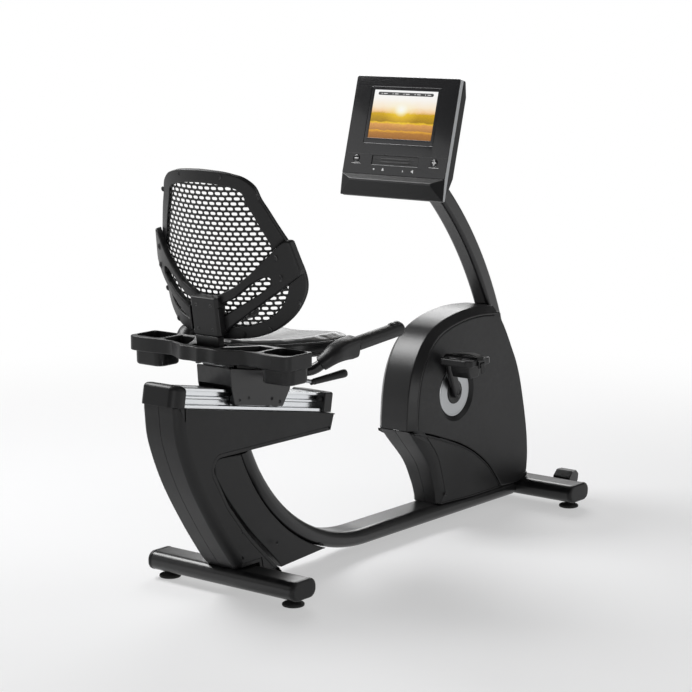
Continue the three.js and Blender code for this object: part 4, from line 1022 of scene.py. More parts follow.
# Seat cushion.
seat = {"rear": -46, "front": 312, "bottom": 613, "thickness": 48, "fill": 0.75, "cap": 5.0, "voxel": 5.5}
seatHalf = [(seat["rear"], 0), (seat["rear"], 42), (-20, 62), (20, 95), (62, 142), (107, 178), (160, 196),
            (220, 200), (262, 190), (292, 160), (306, 100), (311, 40), (seat["front"], 0)]


def seatTop(x, y):
    bowl = -9 * math.exp(-((y / 95) ** 2)) * min(1, max(0, (x + 20) / 120))
    front = -16 * max(0, (x - 235) / 77) ** 2
    side = 3 * math.exp(-(((abs(y) - 168) / 32) ** 2))
    rear = 5 * math.exp(-(((x + 30) / 34) ** 2))
    return bowl + front + side + rear


def seatPlace(x, y, z):
    lift = seatTop(x, y) * max(0, min(1, (z - seat["bottom"]) / 40))
    return (x, y, z + lift)


def seatPart(trim):
    line = spline(seatHalf[1:-1], 4)
    outline = [np.array(seatHalf[0], float)] + line + [np.array(seatHalf[-1], float)] + mirrored(line)
    loop = evenly([np.array(p) for p in offset(turned(outline), trim)], 9)
    low, high = seat["bottom"] + trim, seat["bottom"] + seat["thickness"] - trim
    rings = [(14, low), (6, low + 1.6), (1.6, low + 7), (0, low + 14), (0, high - 14), (1.8, high - 6.5),
             (6.5, high - 1.6), (15, high)]
    return loop, shell([loop], [[r] for r in rings], seatPlace, grid=13)


def inflate(cushion):
    scene = bpy.context.scene
    mesh = cushion.data
    before = np.array([v.co for v in mesh.vertices])
    cloth = cushion.modifiers.new("stuffing", "CLOTH")
    cloth.settings.use_pressure = True
    cloth.settings.uniform_pressure_force = 4
    cloth.settings.effector_weights.gravity = 0
    cloth.settings.quality = 5
    scene.frame_start, scene.frame_end = 1, 20
    cloth.point_cache.frame_start, cloth.point_cache.frame_end = 1, 20
    for step in range(1, 21):
        scene.frame_set(step)
    graph = bpy.context.evaluated_depsgraph_get()
    shaped = cushion.evaluated_get(graph).to_mesh()
    after = np.array([v.co for v in shaped.vertices])
    cushion.evaluated_get(graph).to_mesh_clear()
    cushion.modifiers.remove(cloth)
    scene.frame_set(1)
    moved = after - before
    length = np.linalg.norm(moved, axis=1, keepdims=True)
    limit = seat["cap"] * mm
    moved *= np.minimum(1, limit / np.maximum(length, 1e-9))
    now = before + moved
    now[:, 2] = np.maximum(now[:, 2], seat["bottom"] * mm)
    mesh.vertices.foreach_set("co", now.astype(np.float32).ravel())
    mesh.update()


seatLoop, seatShape = seatPart(3.0)
cushion = piece("seat_pad", seatShape, looks["vinyl"], "seat", ["seat_cushion"], crease=80,
                weighted=False)
bpy.context.view_layer.update()
remesh = cushion.modifiers.new("evenMesh", "REMESH")
remesh.mode = "VOXEL"
remesh.voxel_size = seat["voxel"] * mm
graph = bpy.context.evaluated_depsgraph_get()
even = bpy.data.meshes.new_from_object(cushion.evaluated_get(graph))
cushion.modifiers.remove(remesh)
even.materials.clear()
even.materials.append(looks["vinyl"])
cushion.data = even
even.shade_smooth()
inflate(cushion)
smoother = cushion.modifiers.new("rounder", "SUBSURF")
smoother.levels = smoother.render_levels = 1

pipeLoop = offset(seatLoop, 0.4)
pipeLine = [seatPlace(x, y, seat["bottom"] + seat["thickness"] - 10.5)
            for x, y in list(pipeLoop) + [pipeLoop[0]]]
piping = sweep(circle(2.3, steps=10), pipeLine, start=(0, 0, 1), ends=False)
seamLow = [(x, y, seat["bottom"] + 11) for x, y in list(pipeLoop) + [pipeLoop[0]]]
piece("seat_piping", merge(piping, sweep(circle(1.9, steps=8), seamLow, start=(0, 0, 1), ends=False)),
      looks["vinyl"], "seat", crease=80)
print("seat done")

# Handlebar, sleeves, grips and thumb pads.
bar = {"radius": 14, "y": 250, "gripHeight": 646, "slope": 0.087, "gripStart": 200, "gripEnd": 396,
       "grip": 19}


def gripZ(x):
    return bar["gripHeight"] + (x - bar["gripStart"]) * bar["slope"]


barHalf = [(76, 0, 590.1), (76, 60, 590.1), (76, 130, 590.1), (76, 190, 590.1), (81, 222, 600.1),
           (104, 244, 624.1)]
barHalf += [(x, bar["y"], gripZ(x)) for x in (150, 172, 200, 260, 320, 390)]
barLine = [(x, -y, z) for x, y, z in barHalf[:0:-1]] + barHalf
piece("seat_handlebar", sweep(circle(bar["radius"], steps=24), spline(barLine, 5), start=(1, 0, 0)),
      looks["paint"], "seat", ["handlebar"])


# The sleeve starts slim on the bar's bend and grows into a squared block under the grip.
def sleevePart():
    line = spline([(86, 231, 609), (100, 243, 622), (120, 249.5, 634), (150, 250, 641.5), (178, 250, 644),
                   (197, 250, 645.8)], 5)
    half = [20, 22, 24, 24, 24, 24]
    square = [2.1, 2.2, 2.6, 3.4, 4.0, 4.0]
    drop = [18, 21, 25, 29, 31, 31]
    rise = [18, 20, 23, 24, 24, 24]
    at = np.linspace(0, 1, 6)

    def section(t):
        w, e = np.interp(t, at, half), np.interp(t, at, square)
        up, down = np.interp(t, at, rise), np.interp(t, at, drop)
        edge = min(1, t / 0.05 + 0.72, (1 - t) / 0.04 + 0.86)
        loop = []
        for a in np.arange(40) * 2 * pi / 40:
            c, s = math.cos(a), math.sin(a)
            r = (abs(c) ** e + abs(s) ** e) ** (-1 / e)
            loop.append((w * r * c * edge, (up if s > 0 else down) * r * s * edge))
        return loop
    return sweep(section, line, start=(0, 1, 0))


def gripPart():
    start = (bar["gripStart"] + 1, bar["y"], gripZ(bar["gripStart"] + 1))
    way = Vector((1, 0, bar["slope"])).normalized()
    far = (bar["gripEnd"] - bar["gripStart"] - 1) / way.x
    r = bar["grip"]
    profile = [(0, 0), (r - 2.5, 0), (r - 2.5, 3.5), (r - 1.2, 3.6), (r - 0.2, 4.6), (r, 6.5),
               (r, far - 10), (r - 0.8, far - 5.6), (r - 3, far - 2.4), (r - 6.5, far - 0.4), (0, far)]
    return lathe(profile, facing(start, way), 48)


def thumbPad():
    middle = bar["gripEnd"] - 30

    def above(lift):
        return lambda x, y, h: (x, y, gripZ(x) + bar["grip"] + lift + h)
    lower = slab(rectangle(42, 15, 7, (middle, bar["y"]), 6), 0, 7, 2.2, above(-5.2), rimLow=0.5)
    keys = [slab(rectangle(width, 9, 4, (middle + shift, bar["y"]), 4), 0, 2.2, 0.9, above(1.2), rimLow=0.2)
            for width, shift in ((15, 9), (13, -9))]
    return merge(lower, *keys)


for side, sign in sides:
    made = [onSide(part, sign) for part in (sleevePart(), gripPart(), thumbPad())]
    piece(f"handle_sleeve_{side}", made[0], looks["plastic"], "seat",
          [f"handle_cover_{side}"], crease=40)
    piece(f"handle_grip_{side}", made[1], looks["grip"], "seat", [f"grip_{side}"])
    piece(f"thumb_pad_{side}", made[2], looks["plastic"], "seat")
print("handles done")

# Shroud: crown, side panels and lower covers.
shroud = {"half": 65, "bevel": 20, "flat": 45}
crownLine = [(700, 308), (700, 330), (702, 358), (706, 400), (714, 443), (727, 481), (745, 515), (764, 541),
             (785, 562), (807, 578), (830, 590), (872, 604), (920, 614), (969, 620), (1018, 622),
             (1070, 620), (1118, 616)]


# The section runs across the bike; its depth is measured in from the crown's outer line.
def crownPart():
    line = np.array(spline(crownLine, 4))
    inward = inwardOf(line)
    half, flat, bevel = shroud["half"], shroud["flat"], shroud["bevel"]
    corner = roundCorners([(0, 0), (flat, 0), (half, bevel), (half, bevel + 4.5), (half - 4, bevel + 4.5),
                           (half - 5, bevel + 1.5), (flat - 2, 4.5), (0, 4.5)], [0, 7, 4, 1.2, 1, 2, 4, 0],
                          4)
    side = corner[1:-1]
    section = [np.array((0, 0))] + side + [np.array((0, 4.5))] + [np.array((-y, d)) for y, d in side[::-1]]
    rings = [[(p[0] + n[0] * d, y, p[1] + n[1] * d) for y, d in section] for p, n in zip(line, inward)]
    return loft(rings)


piece("crown_shell", crownPart(), looks["crown"], "root", ["crown_cover"], crease=38)

frontLine = [(1140, 598), (1164, 568), (1187, 532), (1212, 488), (1235, 446), (1257, 390), (1276, 320),
             (1291, 254), (1301, 190), (1303, 124), (1296, 76)]
seamLine = [(722, 306), (783, 289.5), (856, 265), (931, 238), (1007, 200), (1075, 152), (1117, 108),
            (1146, 72)]
crank = {"x": 912, "z": 391, "reach": 130, "angle": math.radians(122), "recess": 84, "floor": 73}


def shroudPanel():
    crownLoop = np.array(spline(crownLine, 4))
    
    inner = crownLoop + inwardOf(crownLoop) * (shroud["bevel"] + 6.2)
    top = [p for p in inner if p[1] > 312 and p[0] < 1104]
    front = spline(frontLine, 5)
    lower = [np.array((1236, 66.5)), np.array((1208, 67)), np.array((1152, 69))]
    seam = spline(seamLine, 6)[::-1]
    outline = top + [np.array((1122, 599))] + front + lower + seam
    loop = evenly(turned(outline), 12)
    weight = (howFar(loop, spline(frontLine, 20)) < 2.5).astype(float)
    weight = (np.roll(weight, 1) + weight * 2 + np.roll(weight, -1)) / 4
    half, bevel = shroud["half"], shroud["bevel"]
    hole = turned(circle(crank["recess"] + 0.8, (crank["x"], crank["z"]), 64), False)
    slope = weight * bevel
    rings = []

    def add(inset, height):
        rings.append([(inset, height), (0.0, np.maximum(np.min(height), 61.0))])
    add(slope * 0.8 + 4, 61.0)
    add(slope * 0.3 + 4, 45.0)
    add(4.0, 1.5)
    add(4.0, 0.3)
    add(0.7, 0.3)
    add(0.0, 1.0)
    add(0.0, half - bevel - 4)
    for t in (0.0, 0.15, 0.3, 0.85, 1.0):
        rounding = slope * t + (1 - weight) * (2.2 if t == 1.0 else 0.4 * t)
        height = half - bevel + bevel * t * weight + (1 - weight) * bevel * min(1, t * 1.1)
        rings.append([(rounding, np.minimum(height, half - 0.5)), (0.0, 64.4)])
    rings.append([(slope + 2.4 * (1 - weight) + 1.2, half), (-0.5, 65.0)])
    return shell([loop, hole], rings, across)


def dishPart():
    place = facing((crank["x"], 0, crank["z"]), (0, 1, 0))
    profile = [(30, 50.5), (76, 50.5), (76, 55), (87, 62), (87.5, 64.6), (84.6, 65.2), (84, 64.4),
               (crank["floor"] + 1.5, 57.6), (crank["floor"], 56), (crank["floor"], 54.4),
               (crank["floor"] - 1, 53.4), (34, 53.4), (33, 52.6), (30, 52.6), (30, 50.5)]
    return lathe(profile, place, 72)


def lowerPart():
    rearLine = [(851, 67), (846, 92), (833, 130), (802, 195), (740, 264), (702, 305)]
    seam = [np.array((x - 1.6, z - 4.2)) for x, z in spline(seamLine, 6)]
    outline = spline(rearLine, 6) + seam[1:] + [np.array((1130, 67.3)), np.array((1034, 67.3))]
    loop = evenly(turned(outline), 12)
    weight = (howFar(loop, spline(rearLine, 24)) < 2.5).astype(float)
    half, bevel = shroud["half"], shroud["bevel"]
    slope = weight * (bevel + 8)
    rings = [[(slope * 0.8 + 4, 61.0)], [(slope * 0.3 + 4, 42.0)], [(4.0, 0.3)], [(0.7, 0.3)], [(0.0, 1.0)],
             [(0.0, half - bevel - 3)]]
    for a in np.linspace(0.25, pi / 2, 5):
        rings.append([(slope * (1 - math.cos(a)) + (1 - weight) * 0.5,
                       half - bevel + (bevel - 0.7) * math.sin(a))])
    rings += [[(slope + 3.0, half - 0.6)], [(slope + 4.0, half - 2.2)], [(slope + 6.0, half - 2.2)],
              [(slope + 7.0, half - 0.2)]]

    def place(x, z, y):
        low = min(1, max(0, (300 - z) / 240))
        behind = min(1, max(0, (1010 - x) / 170))
        return (x, y * (1 - 0.26 * (low * low * (3 - 2 * low)) * behind * behind * (3 - 2 * behind)), z)
    return shell([loop], rings, place, grid=22)


panelPart, lowerShape, dish = shroudPanel(), lowerPart(), dishPart()
for side, sign in sides:
    made = [onSide(part, sign) for part in (panelPart, lowerShape, dish)]
    piece(f"shroud_panel_{side}", made[0], looks["cover"], "root", [f"shroud_{side}"],
          crease=26)
    piece(f"shroud_lower_{side}", made[1], looks["cover"], "root", [f"lower_cover_{side}"],
          crease=26)
    piece(f"crank_recess_{side}", made[2], looks["cover"], "root")
shroudScrews = [screwAt((876, -55.5, 94), (0, -1, 0), 3.6), screwAt((1259, -64.8, 88), (0, -1, 0), 3.6)]
piece("shroud_screws", both(merge(*shroudScrews)), looks["screw"], "root")
print("shroud done")

# Cranks, discs and pedals.
crankSize = {"boss": 51, "inner": 58, "splay": 16, "thickness": 14, "hub": 17, "eye": 13}
pedalSize = {"width": 103, "from": 92}


def onCrank(angle, u, v, y):
    c, k = math.cos(angle), math.sin(angle)
    return (crank["x"] + u * c - v * k, y, crank["z"] + u * k + v * c)


def crankPart(angle, sign):
    def ring(inset, height):
        loop = arc(0, 0, crankSize["hub"] - inset, pi / 2, 1.5 * pi, 14)
        loop += arc(crank["reach"], 0, crankSize["eye"] - inset, -pi / 2, pi / 2, 14)
        return [onCrank(angle, u, v,
                        sign * (height + crankSize["splay"] * max(0, min(1, u / crank["reach"]))))
                for u, v in loop]
    low, high = crankSize["inner"], crankSize["inner"] + crankSize["thickness"]
    arm = loft([ring(6, low), ring(2.5, low + 0.3), ring(0.6, low + 2), ring(0, low + 4.4),
                ring(0, high - 5), ring(0.8, high - 2.2), ring(3, high - 0.5), ring(6.5, high)])
    place = facing((crank["x"], 0, crank["z"]), (0, sign, 0))
    start = crankSize["boss"]
    boss = lathe([(10.6, start), (17, start), (17, start + 9), (10.6, start + 9), (10.6, start)], place, 36)
    bolt = lathe([(0, 70), (9, 70), (9.5, 73.2), (8.6, 74), (6.6, 74), (6.4, 72.6), (4, 72.4), (0, 72.4)],
                 place, 30)
    end = onCrank(angle, crank["reach"], 0, 0)
    spindle = lathe([(0, 76), (10, 76), (10, 89.4), (6, 90.4), (6, 187), (0, 187)],
                    facing((end[0], 0, end[2]), (0, sign, 0)), 28)
    return merge(arm, boss, bolt), spindle


def discPart(sign):
    place = facing((crank["x"], 0, crank["z"]), (0, sign, 0))
    profile = [(35, 54), (70.4, 54), (71, 54.6), (71, 56), (70, 57), (66.5, 57.2), (65.5, 56.5), (62, 56.2),
               (50, 56.6), (40, 57.2), (37, 57.8), (35, 57.4), (35, 54)]
    hub = [(17.6, 54), (34.6, 54), (34.6, 58.6), (33.4, 59.6), (26, 59.8), (24, 58.8), (17.6, 58.6),
           (17.6, 54)]
    return lathe(profile, place, 72), lathe(hub, place, 56)


def pedalParts(angle, sign):
    x, _, z = onCrank(angle, crank["reach"], 0, 0)
    low, wide = pedalSize["from"], pedalSize["width"]
    middle = low + wide / 2

    def place(u, v, w):
        return (x + u, sign * (middle + v), z + w)
    plan = roundCorners([(-56, -50), (-40, -51.5), (40, -51.5), (56, -44), (56, 44), (42, 51.5),
                         (-42, 51.5), (-56, 40)],
                        [10, 14, 14, 12, 12, 14, 14, 12], 5)
    slots = [rectangle(12, 30, 4, (cx, cy), 4) for cx in (-38, 38) for cy in (-22, 22)]
    tread = slab(plan, -10, 9.4, 3, place, slots, rimLow=5, steps=4)
    ribs = [slab(rectangle(44, 2.6, 1.2, (0, v), 2), 9, 12, 0.8, place, steps=2)
            for v in np.linspace(-38, 38, 9)]
    nubs = [slab(rectangle(3, 78, 1.4, (u, 0), 2), 9, 12, 0.8, place, steps=2) for u in (-28, 28)]
    keel = slab(roundCorners([(-34, -4), (34, -4), (28, -30), (20, -47), (-20, -47), (-28, -30)], 6, 4),
                -31, 31, 4, lambda u, w, v: place(u, v, w), steps=3)
    band = [(-50, 3), (-52, 12), (-38, 17), (-14, 20.5), (10, 21.5), (32, 20.5), (48, 15), (53, 6),
            (52, -2)]
    strapLine = [place(0, u, w) for u, w in spline(band, 5)]
    strap = sweep(rectangle(26, 2.4, 1.0, steps=2), strapLine, start=(1, 0, 0))
    holes = []
    for u, w in [(34, 21.6), (40, 19.6), (46, 17.2)]:
        holes.append(lathe([(0, 0), (1.8, 0), (1.8, 0.5), (0, 0.5)],
                           facing(place(0, u - 2, w - 0.4), (0, sign * 0.4, 1)), 12))
    buckle = slab(rectangle(32, 22, 4, (0, 0), 4), -2.4, 2.4, 1.2,
                  lambda a, b, h: place(a, 54.4 + h, b - 4), [rectangle(20, 9, 2, (0, 1), 3)], steps=2)
    tail = slab(rectangle(18, 30, 5, (0, -14), 4), -1, 1, 0.6,
                lambda a, b, h: place(a, 57.6 + h - b * 0.10, b - 2), steps=2)
    return merge(tread, *ribs, *nubs, keel), merge(strap, *holes), merge(buckle, tail)


for side, sign in sides:
    angle = crank["angle"] + (pi if sign > 0 else 0)
    arm, spindle = crankPart(angle, sign)
    piece(f"crank_arm_{side}", arm, looks["plastic"], "crank", [f"crank_{side}"])
    piece(f"pedal_spindle_{side}", spindle, looks["steel"], "crank")
    plate, hub = discPart(sign)
    piece(f"crank_plate_{side}", plate, looks["chrome"], "crank", [f"crank_disc_{side}"],
          crease=40)
    piece(f"crank_hub_{side}", hub, looks["plastic"], "crank")
    tread, strap, buckle = pedalParts(angle, sign)
    piece(f"pedal_tread_{side}", tread, looks["plastic"], f"pedal_{side}",
          [f"pedal_{side}"])
    piece(f"pedal_strap_{side}", strap, looks["rubber"], f"pedal_{side}")
    piece(f"pedal_buckle_{side}", buckle, looks["plastic"], f"pedal_{side}")
print("cranks and pedals done")

# Console.
console = {"half": 177, "top": 138, "low": -138, "fold": -82, "ridge": 11, "ridgeHalf": 140, "chin": -200,
           "back": 44}


def consoleSheet():
    h, rim = console["half"], console["top"]
    plan = roundCorners([(-h, rim), (-h, console["low"]), (h, console["low"]), (h, rim)], [5, 0.5, 0.5, 5],
                        5)
    recess = rectangle(160, 27, 2.5, (0, -97.5), 3)
    bezel = rectangle(240, 161, 4, (0, 29.5), 4)
    buttonHole = [circle(11, (y, -96), 28) for y in (134, -134)]
    return slab(plan, 0, 3, 0.8, onPanel, [recess, bezel] + buttonHole, rimLow=0.8, steps=2)


def chinPart():
    h, r, k = console["half"], console["ridgeHalf"], console["ridge"]
    fold, low = console["low"] - 0.6, console["chin"] + 1
    front = [(-h, fold, 0.3), (h, fold, 0.3), (r, -154.5, -k), (-r, -154.5, -k), (r, -161.5, -k),
             (-r, -161.5, -k), (h, low, 7), (-h, low, 7)]
    rear = [(-h, fold, 3.2), (h, fold, 3.2), (h, low, 12), (-h, low, 12)]
    points = [onPanel(y, up, deep) for y, up, deep in front + rear]
    faces = [(0, 1, 2, 3), (3, 2, 4, 5), (5, 4, 6, 7), (0, 3, 5, 7), (1, 6, 4, 2), (8, 9, 10, 11),
             (0, 8, 9, 1), (7, 6, 10, 11), (0, 7, 11, 8), (1, 9, 10, 6)]
    return points, faces


facePart = consoleSheet()
piece("console_front", facePart, looks["gloss"], "console", ["console_face"])
chin = piece("console_chin", chinPart(), looks["plastic"], "console", crease=10,
             weighted=False)
softened = chin.modifiers.new("softEdges", "BEVEL")
softened.width = 1.6 * mm
softened.segments = 3
softened.limit_method = "ANGLE"
softened.angle_limit = math.radians(8)
softened.harden_normals = True


screen = {"width": 217, "height": 136, "up": 32, "gap": 0.6}


def screenParts():
    wide, high, up = screen["width"], screen["height"], screen["up"]
    bezel = slab(rectangle(239.4, 160.4, 4, (0, 29.5), 4), 0.7, 3, 0.5, onPanel,
                 [rectangle(wide + screen["gap"], high + screen["gap"], 1, (0, up), 2)], steps=2)
    glass = slab(rectangle(wide, high, 0.8, (0, up), 2), 1.3, 3, 0.2, onPanel, steps=1)
    recess = slab(rectangle(159.4, 26.4, 2.4, (0, -97.5), 3), 1.6, 3, 0.4, onPanel, steps=2)
    lips = [slab(rectangle(100, 5.5, 2.4, (0, up), 4), 0.9, 2.4, 0.5, onPanel, steps=2)
            for up in (-94, -103)]
    # The slot strips are painted shade: near-black bars standing in for the dark inside the speaker
    # openings between the lips.
    slots = [slab(rectangle(92, 2.6, 1.2, (0, up), 3), 0.6, 1.6, 0.2, onPanel, steps=1)
             for up in (-94, -103)]
    return bezel, glass, merge(recess, *lips), merge(*slots)


bezel, glass, speaker, slots = screenParts()
piece("screen_bezel", bezel, looks["gloss"], "console")
piece("speaker_recess", speaker, looks["plastic"], "console")
# A thin near-black line across the face is painted shade where the face folds. It shares one piece with the
# slot strips.
fold = slab(rectangle(350, 1.3, 0.5, (0, console["fold"]), 2), -0.12, 0.4, 0.1, onPanel, steps=1)
piece("speaker_slot_and_fold_shade", merge(slots, fold), looks["slot"], "console")


# A made-up evening landscape: pale sky, low sun, a golden tree line and a road.
def pictureMaterial():
    material = bpy.data.materials.new("screenPicture")
    material.use_nodes = True
    tree = material.node_tree
    shader = tree.nodes["Principled BSDF"]
    where = addNode(tree, "UVMap").outputs["UV"]
    parts = addNode(tree, "SeparateXYZ", {0: where})
    noise = addNode(tree, "TexNoise", {"Vector": where, "Scale": 9.0, "Detail": 6.0, "Roughness": 0.65})
    hill = addNode(tree, "Math", {0: noise.outputs["Fac"], 1: 0.09, 2: parts.outputs["Y"]},
                   operation="MULTIPLY_ADD")
    sky = rampOf(tree, hill.outputs[0], [(0.0, (0.30, 0.11, 0.012)), (0.16, (0.48, 0.20, 0.03)),
                                         (0.205, (0.85, 0.42, 0.03)), (0.225, (0.52, 0.24, 0.06)),
                                         (0.34, (0.80, 0.38, 0.10)), (0.375, (0.95, 0.60, 0.02)),
                                         (0.40, (0.42, 0.24, 0.005)), (0.56, (0.70, 0.42, 0.005)),
                                         (0.60, (0.95, 0.62, 0.30)), (0.70, (1.0, 0.86, 0.66)),
                                         (0.86, (1.0, 0.97, 0.92)), (1.0, (1.0, 1.0, 1.0))])
    leaves = addNode(tree, "TexNoise", {"Vector": where, "Scale": 55.0, "Detail": 5.0, "Roughness": 0.7})
    dapple = addNode(tree, "MapRange", {"Value": leaves.outputs["Fac"], "From Min": 0.35, "From Max": 0.65,
                                        "To Min": 0.72, "To Max": 1.12})
    dappled = addNode(tree, "Mix", {0: 1.0, 6: sky.outputs[0]}, data_type="RGBA", blend_type="MULTIPLY")
    grey = addNode(tree, "CombineColor", {0: dapple.outputs[0], 1: dapple.outputs[0], 2: dapple.outputs[0]})
    tree.links.new(grey.outputs[0], dappled.inputs[7])
    land = addNode(tree, "MapRange", {"Value": hill.outputs[0], "From Min": 0.56, "From Max": 0.62,
                                      "To Min": 1.0, "To Max": 0.0})
    ground = addNode(tree, "Mix", {0: land.outputs[0], 6: sky.outputs[0], 7: dappled.outputs[2]},
                     data_type="RGBA")
    middle = addNode(tree, "VectorMath", {0: where, 1: (0.47, 0.60, 0)}, operation="SUBTRACT")
    squeezed = addNode(tree, "VectorMath", {0: middle.outputs[0], 1: (1.0, 0.8, 0)}, operation="MULTIPLY")
    away = addNode(tree, "VectorMath", {0: squeezed.outputs[0]}, operation="LENGTH")
    glow = rampOf(tree, away.outputs["Value"], [(0.0, (1, 1, 1)), (0.05, (1.0, 0.9, 0.6)),
                                                (0.12, (0.6, 0.3, 0.02)), (0.3, (0, 0, 0))])
    lit = addNode(tree, "Mix", {0: 1.0, 6: ground.outputs[2], 7: glow.outputs[0]}, data_type="RGBA",
                  blend_type="SCREEN")
    tree.links.new(lit.outputs[2], shader.inputs["Emission Color"])
    shader.inputs["Emission Strength"].default_value = 0.92
    shader.inputs["Base Color"].default_value = (0.01, 0.01, 0.01, 1)
    shader.inputs["Roughness"].default_value = 0.12
    return material


picture = piece("screen_picture", glass, pictureMaterial(), "console")
flat = picture.data.uv_layers.new(name="UVMap")
tilt, tiltUp = math.cos(panel["tilt"]), math.sin(panel["tilt"])
for corner in picture.data.loops:
    p = picture.data.vertices[corner.vertex_index].co
    dx, dz = (p.x - rearX) / mm - panel["x"], p.z / mm - panel["z"]
    up = dx * tiltUp + dz * tilt
    flat.data[corner.index].uv = (0.5 - p.y / mm / screen["width"],
                                  (up - screen["up"]) / screen["height"] + 0.5)


# Small marks without letters: a status strip on the picture, dashes and simple signs on the panel.
def onGlass(outline, low=0.6, high=1.5):
    return slab(outline, low, high, 0.15, onPanel, steps=1)


strip = onGlass(rectangle(190, 9, 4.4, (0, 90), 4), 1.15, 1.5)
piece("status_strip", strip, looks["slot"], "console")
dashes = [onGlass(rectangle(13, 2.2, 1, (y, 90), 2), 0.95, 1.2) for y in (70, 32, -6, -44, -80)]
dots = [onGlass(circle(1.7, (y + 12.5, 90), 12), 0.95, 1.2) for y in (70, 32, -6, -44, -80)]
piece("status_marks", merge(*dashes, *dots), looks["mark"], "console")


def buttonPart(y):
    profile = [(0, -0.9), (8, -0.9), (9.2, -0.6), (10, 0.2), (10, 3.6), (12, 3.6), (12, 6.4), (0, 6.4)]
    origin = onPanel(y, -96, 0)
    way = np.array(onPanel(0, 0, 1)) - np.array(onPanel(0, 0, 0))
    return lathe(profile, facing(origin, way), 40)


for name, y, bars in [("minus", 134, [(13, 2.6)]), ("plus", -134, [(14, 2.6), (2.6, 14)])]:
    piece(f"{name}_key", buttonPart(y), looks["gloss"], f"button_{name}",
          [f"button_{name}"])
    mark = merge(*[slab(rectangle(w, h, 0.8, (y, -96), 2), -1.15, -0.7, 0.1, onPanel, steps=1)
                   for w, h in bars])
    piece(f"{name}_mark", mark, looks["mark"], f"button_{name}")
icons = [(circle(2.6, (68, -124), 16), 0.1),
         ([(-34, -127), (-30, -127), (-32, -120)], 0.05),
         (roundCorners([(33, -127), (41, -127), (39, -121), (37, -118), (35, -121)], 0.6, 2), 0.05),
         (roundCorners([(-60, -126), (-63, -126), (-68, -129), (-68, -119), (-63, -122), (-60, -122)],
                       0.4, 2), 0.05)]
labels = [(rectangle(width, 1.2, 0.5, (y, -110), 2), 0.05) for y, width in ((134, 30), (-134, 34))]
signs = [slab(outline, -0.2, 0.3, rim, onPanel, steps=1) for outline, rim in labels + icons]
piece("panel_marks", merge(*signs), looks["mark"], "console")


# The housing's sides are pale and show past the glossy face.
def housingPart():
    h = console["half"]
    outline = [(3.4, console["top"]), (3.4, console["low"]), (12.4, console["chin"] + 0.8),
               (20, console["chin"]), (console["back"], -130), (console["back"], 96), (30, console["top"])]
    body = slab(roundCorners(outline, [1, 1, 2, 3, 12, 14, 5], 5), -h + 3, h - 3, 3,
                lambda d, up, y: onPanel(y, up, d), steps=4)
    # The vents are near-black strips on the back: painted shade standing in for the vent openings.
    vents = [slab(rectangle(120, 3, 1.4, (0, up), 3), console["back"] - 0.5, console["back"] + 0.6, 0.3,
                  onPanel, steps=1) for up in np.linspace(-6, 60, 7)]
    return body, merge(*vents)


housing, vents = housingPart()
piece("console_body", housing, looks["plastic"], "console", ["console_housing"], crease=30)
piece("console_vent_shade", vents, looks["slot"], "console")


def edgeBand(sign):
    outline = [(1.2, console["top"] - 1.5), (1.2, console["low"]), (8.5, console["chin"] + 2),
               (17, console["chin"] + 2), (15, console["low"]), (15, console["top"] - 1.5)]
    low, high = sorted((sign * (console["half"] - 3), sign * (console["half"] + 0.2)))
    return slab(roundCorners(outline, 1.5, 3), low, high, 0.8, lambda d, up, y: onPanel(y, up, d), steps=2)


piece("console_edges", merge(edgeBand(1), edgeBand(-1)), looks["trim"], "console")


def neckPart():
    angle = math.radians(mast["to"]) - 19 / mast["radius"]
    px, pz = mast["x"] + mast["radius"] * math.cos(angle), mast["z"] + mast["radius"] * math.sin(angle)
    dx, dz = px - panel["x"], pz - panel["z"]
    deep, up = dx * tilt - dz * tiltUp, dx * tiltUp + dz * tilt
    ear = arc(deep, up, 16, -pi / 2, pi / 2, 12) + [np.array((console["back"] - 2, up + 24)),
                                                    np.array((console["back"] - 2, up - 24))]
    cheek = slab(roundCorners(ear, 1, 1), 31, 37, 1.2, lambda d, u, y: onPanel(y, u, d), steps=2)
    bolt = lathe([(0, 36), (8.5, 36), (9, 37), (9, 40), (8, 41.4), (5, 41.6), (4.6, 40.4), (0, 40.4)],
                 facing((px, 0, pz), (0, 1, 0)), 28)
    return merge(both(cheek)), merge(both(bolt))


ears, bolts = neckPart()
piece("console_ears", ears, looks["paint"], "console")
piece("console_bolts", bolts, looks["screw"], "console")
print("console done")

# The inner nodes keep their CAD shape and take a real finish.
inner = {"rear_frame": "paint", "drive_frame": "paint", "drive_belt": "rubber", "crank_axle": "steel",
         "flywheel": "steel", "magnet_brake": "steel", "rail_lock": "steel", "seat_pan": "paint"}
for name, look in inner.items():
    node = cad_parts[name]
    node.data.materials.clear()
    node.data.materials.append(looks[look])

# Floor, light and camera.
studio = {"floorSize": 14.0, "glow": 0.46, "fadeFrom": 1.0, "fadeTo": 3.4, "ambient": 0.3}


def floorMaterial():
    material = bpy.data.materials.new("paleFloor")
    material.use_nodes = True
    tree = material.node_tree
    shader = tree.nodes["Principled BSDF"]
    where = addNode(tree, "TexCoord").outputs["Object"]
    shader.inputs["Base Color"].default_value = (0.80, 0.80, 0.81, 1)
    shader.inputs["Roughness"].default_value = 0.6
    shader.inputs["Specular IOR Level"].default_value = 0.2
    away = addNode(tree, "VectorMath", {0: where}, operation="LENGTH")
    fade = addNode(tree, "MapRange", {"Value": away.outputs["Value"], "From Min": studio["fadeFrom"],
                                      "From Max": studio["fadeTo"], "To Min": studio["glow"]},
                   interpolation_type="SMOOTHSTEP")
    white = addNode(tree, "Emission", {"Color": (1, 1, 1, 1), "Strength": 1.0})
    mixed = addNode(tree, "MixShader", {0: fade.outputs[0], 1: shader.outputs[0], 2: white.outputs[0]})
    tree.links.new(mixed.outputs[0], tree.nodes["Material Output"].inputs["Surface"])
    return material


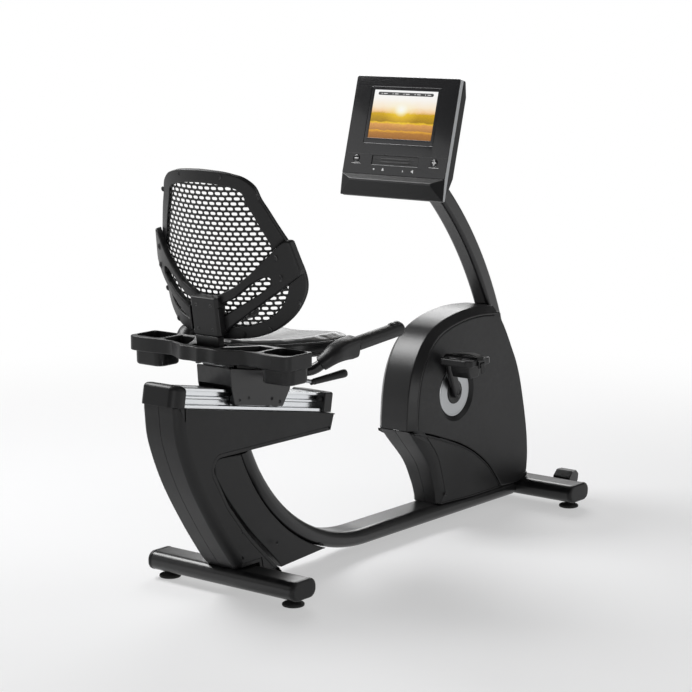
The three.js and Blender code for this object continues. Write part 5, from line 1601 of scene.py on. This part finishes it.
floorMesh = bpy.data.meshes.new("floor")
ringPoints = [(x, y, 0) for x, y in circle(studio["floorSize"], steps=64)]
floorMesh.from_pydata(ringPoints, [], [tuple(range(64))])
floorMesh.materials.append(floorMaterial())
floor = bpy.data.objects.new("floor", floorMesh)
bpy.context.scene.collection.objects.link(floor)

world = bpy.data.worlds.new("studio")
bpy.context.scene.world = world
world.use_nodes = True
sky = world.node_tree
background = sky.nodes["Background"]
seen = addNode(sky, "LightPath")
aim = addNode(sky, "TexCoord")
split = addNode(sky, "SeparateXYZ", {0: aim.outputs["Generated"]})
lift = rampOf(sky, split.outputs["Z"], [(0.0, (1, 1, 1)), (0.14, (0.9, 0.9, 0.9)), (0.34, (0.3, 0.3, 0.3)),
                                        (1.0, (0.6, 0.6, 0.6))])
dim = addNode(sky, "Background", {"Color": lift.outputs[0], "Strength": studio["ambient"]})
background.inputs["Color"].default_value = (1, 1, 1, 1)
background.inputs["Strength"].default_value = 1.0
choose = addNode(sky, "MixShader", {0: seen.outputs["Is Camera Ray"], 1: dim.outputs[0],
                                    2: background.outputs[0]})
sky.links.new(choose.outputs[0], sky.nodes["World Output"].inputs["Surface"])

lights = {
    "overhead": {"at": (-0.8, 1.9, 2.8), "size": (1.6, 1.3), "power": 95},
    "farSide": {"at": (3.5, 2.1, 2.5), "size": (2.6, 1.8), "power": 75},
    "rightFront": {"at": (2.2, -3.2, 2.2), "size": (2.0, 2.0), "power": 18},
    "frontFill": {"at": (-3.0, -4.2, 0.8), "size": (1.6, 1.2), "power": 18},
    "leftRear": {"at": (-3.4, 3.0, 1.8), "size": (1.5, 2.0), "power": 6},
}
target = Vector((0, 0, 0.6))
for name, light in lights.items():
    data = bpy.data.lights.new(name, "AREA")
    data.shape, data.size, data.size_y = "RECTANGLE", *light["size"]
    data.energy = light["power"]
    lamp = bpy.data.objects.new(name, data)
    lamp.location = light["at"]
    lamp.rotation_euler = (target - Vector(light["at"])).to_track_quat("-Z", "Y").to_euler()
    bpy.context.scene.collection.objects.link(lamp)

view = {"azimuth": -51.618, "elevation": 9.887, "distance": 5.7817, "lens": 109.8,
        "off": (-0.03998, 0.02874, -0.07745)}
middle = (cadLow + cadHigh) / 2
aimAt = middle + Vector(view["off"])
az, el = math.radians(view["azimuth"]), math.radians(view["elevation"])
camData = bpy.data.cameras.new("camera")
camData.lens, camData.sensor_width = view["lens"], 36
camera = bpy.data.objects.new("camera", camData)
camera.location = aimAt + Vector((math.sin(az) * math.cos(el), -math.cos(az) * math.cos(el),
                                  math.sin(el))) * view["distance"]
camera.rotation_euler = (pi / 2 - el, 0, az)
bpy.context.scene.collection.objects.link(camera)
bpy.context.scene.camera = camera
bpy.context.scene.view_settings.view_transform = "Standard"
print("stage done")
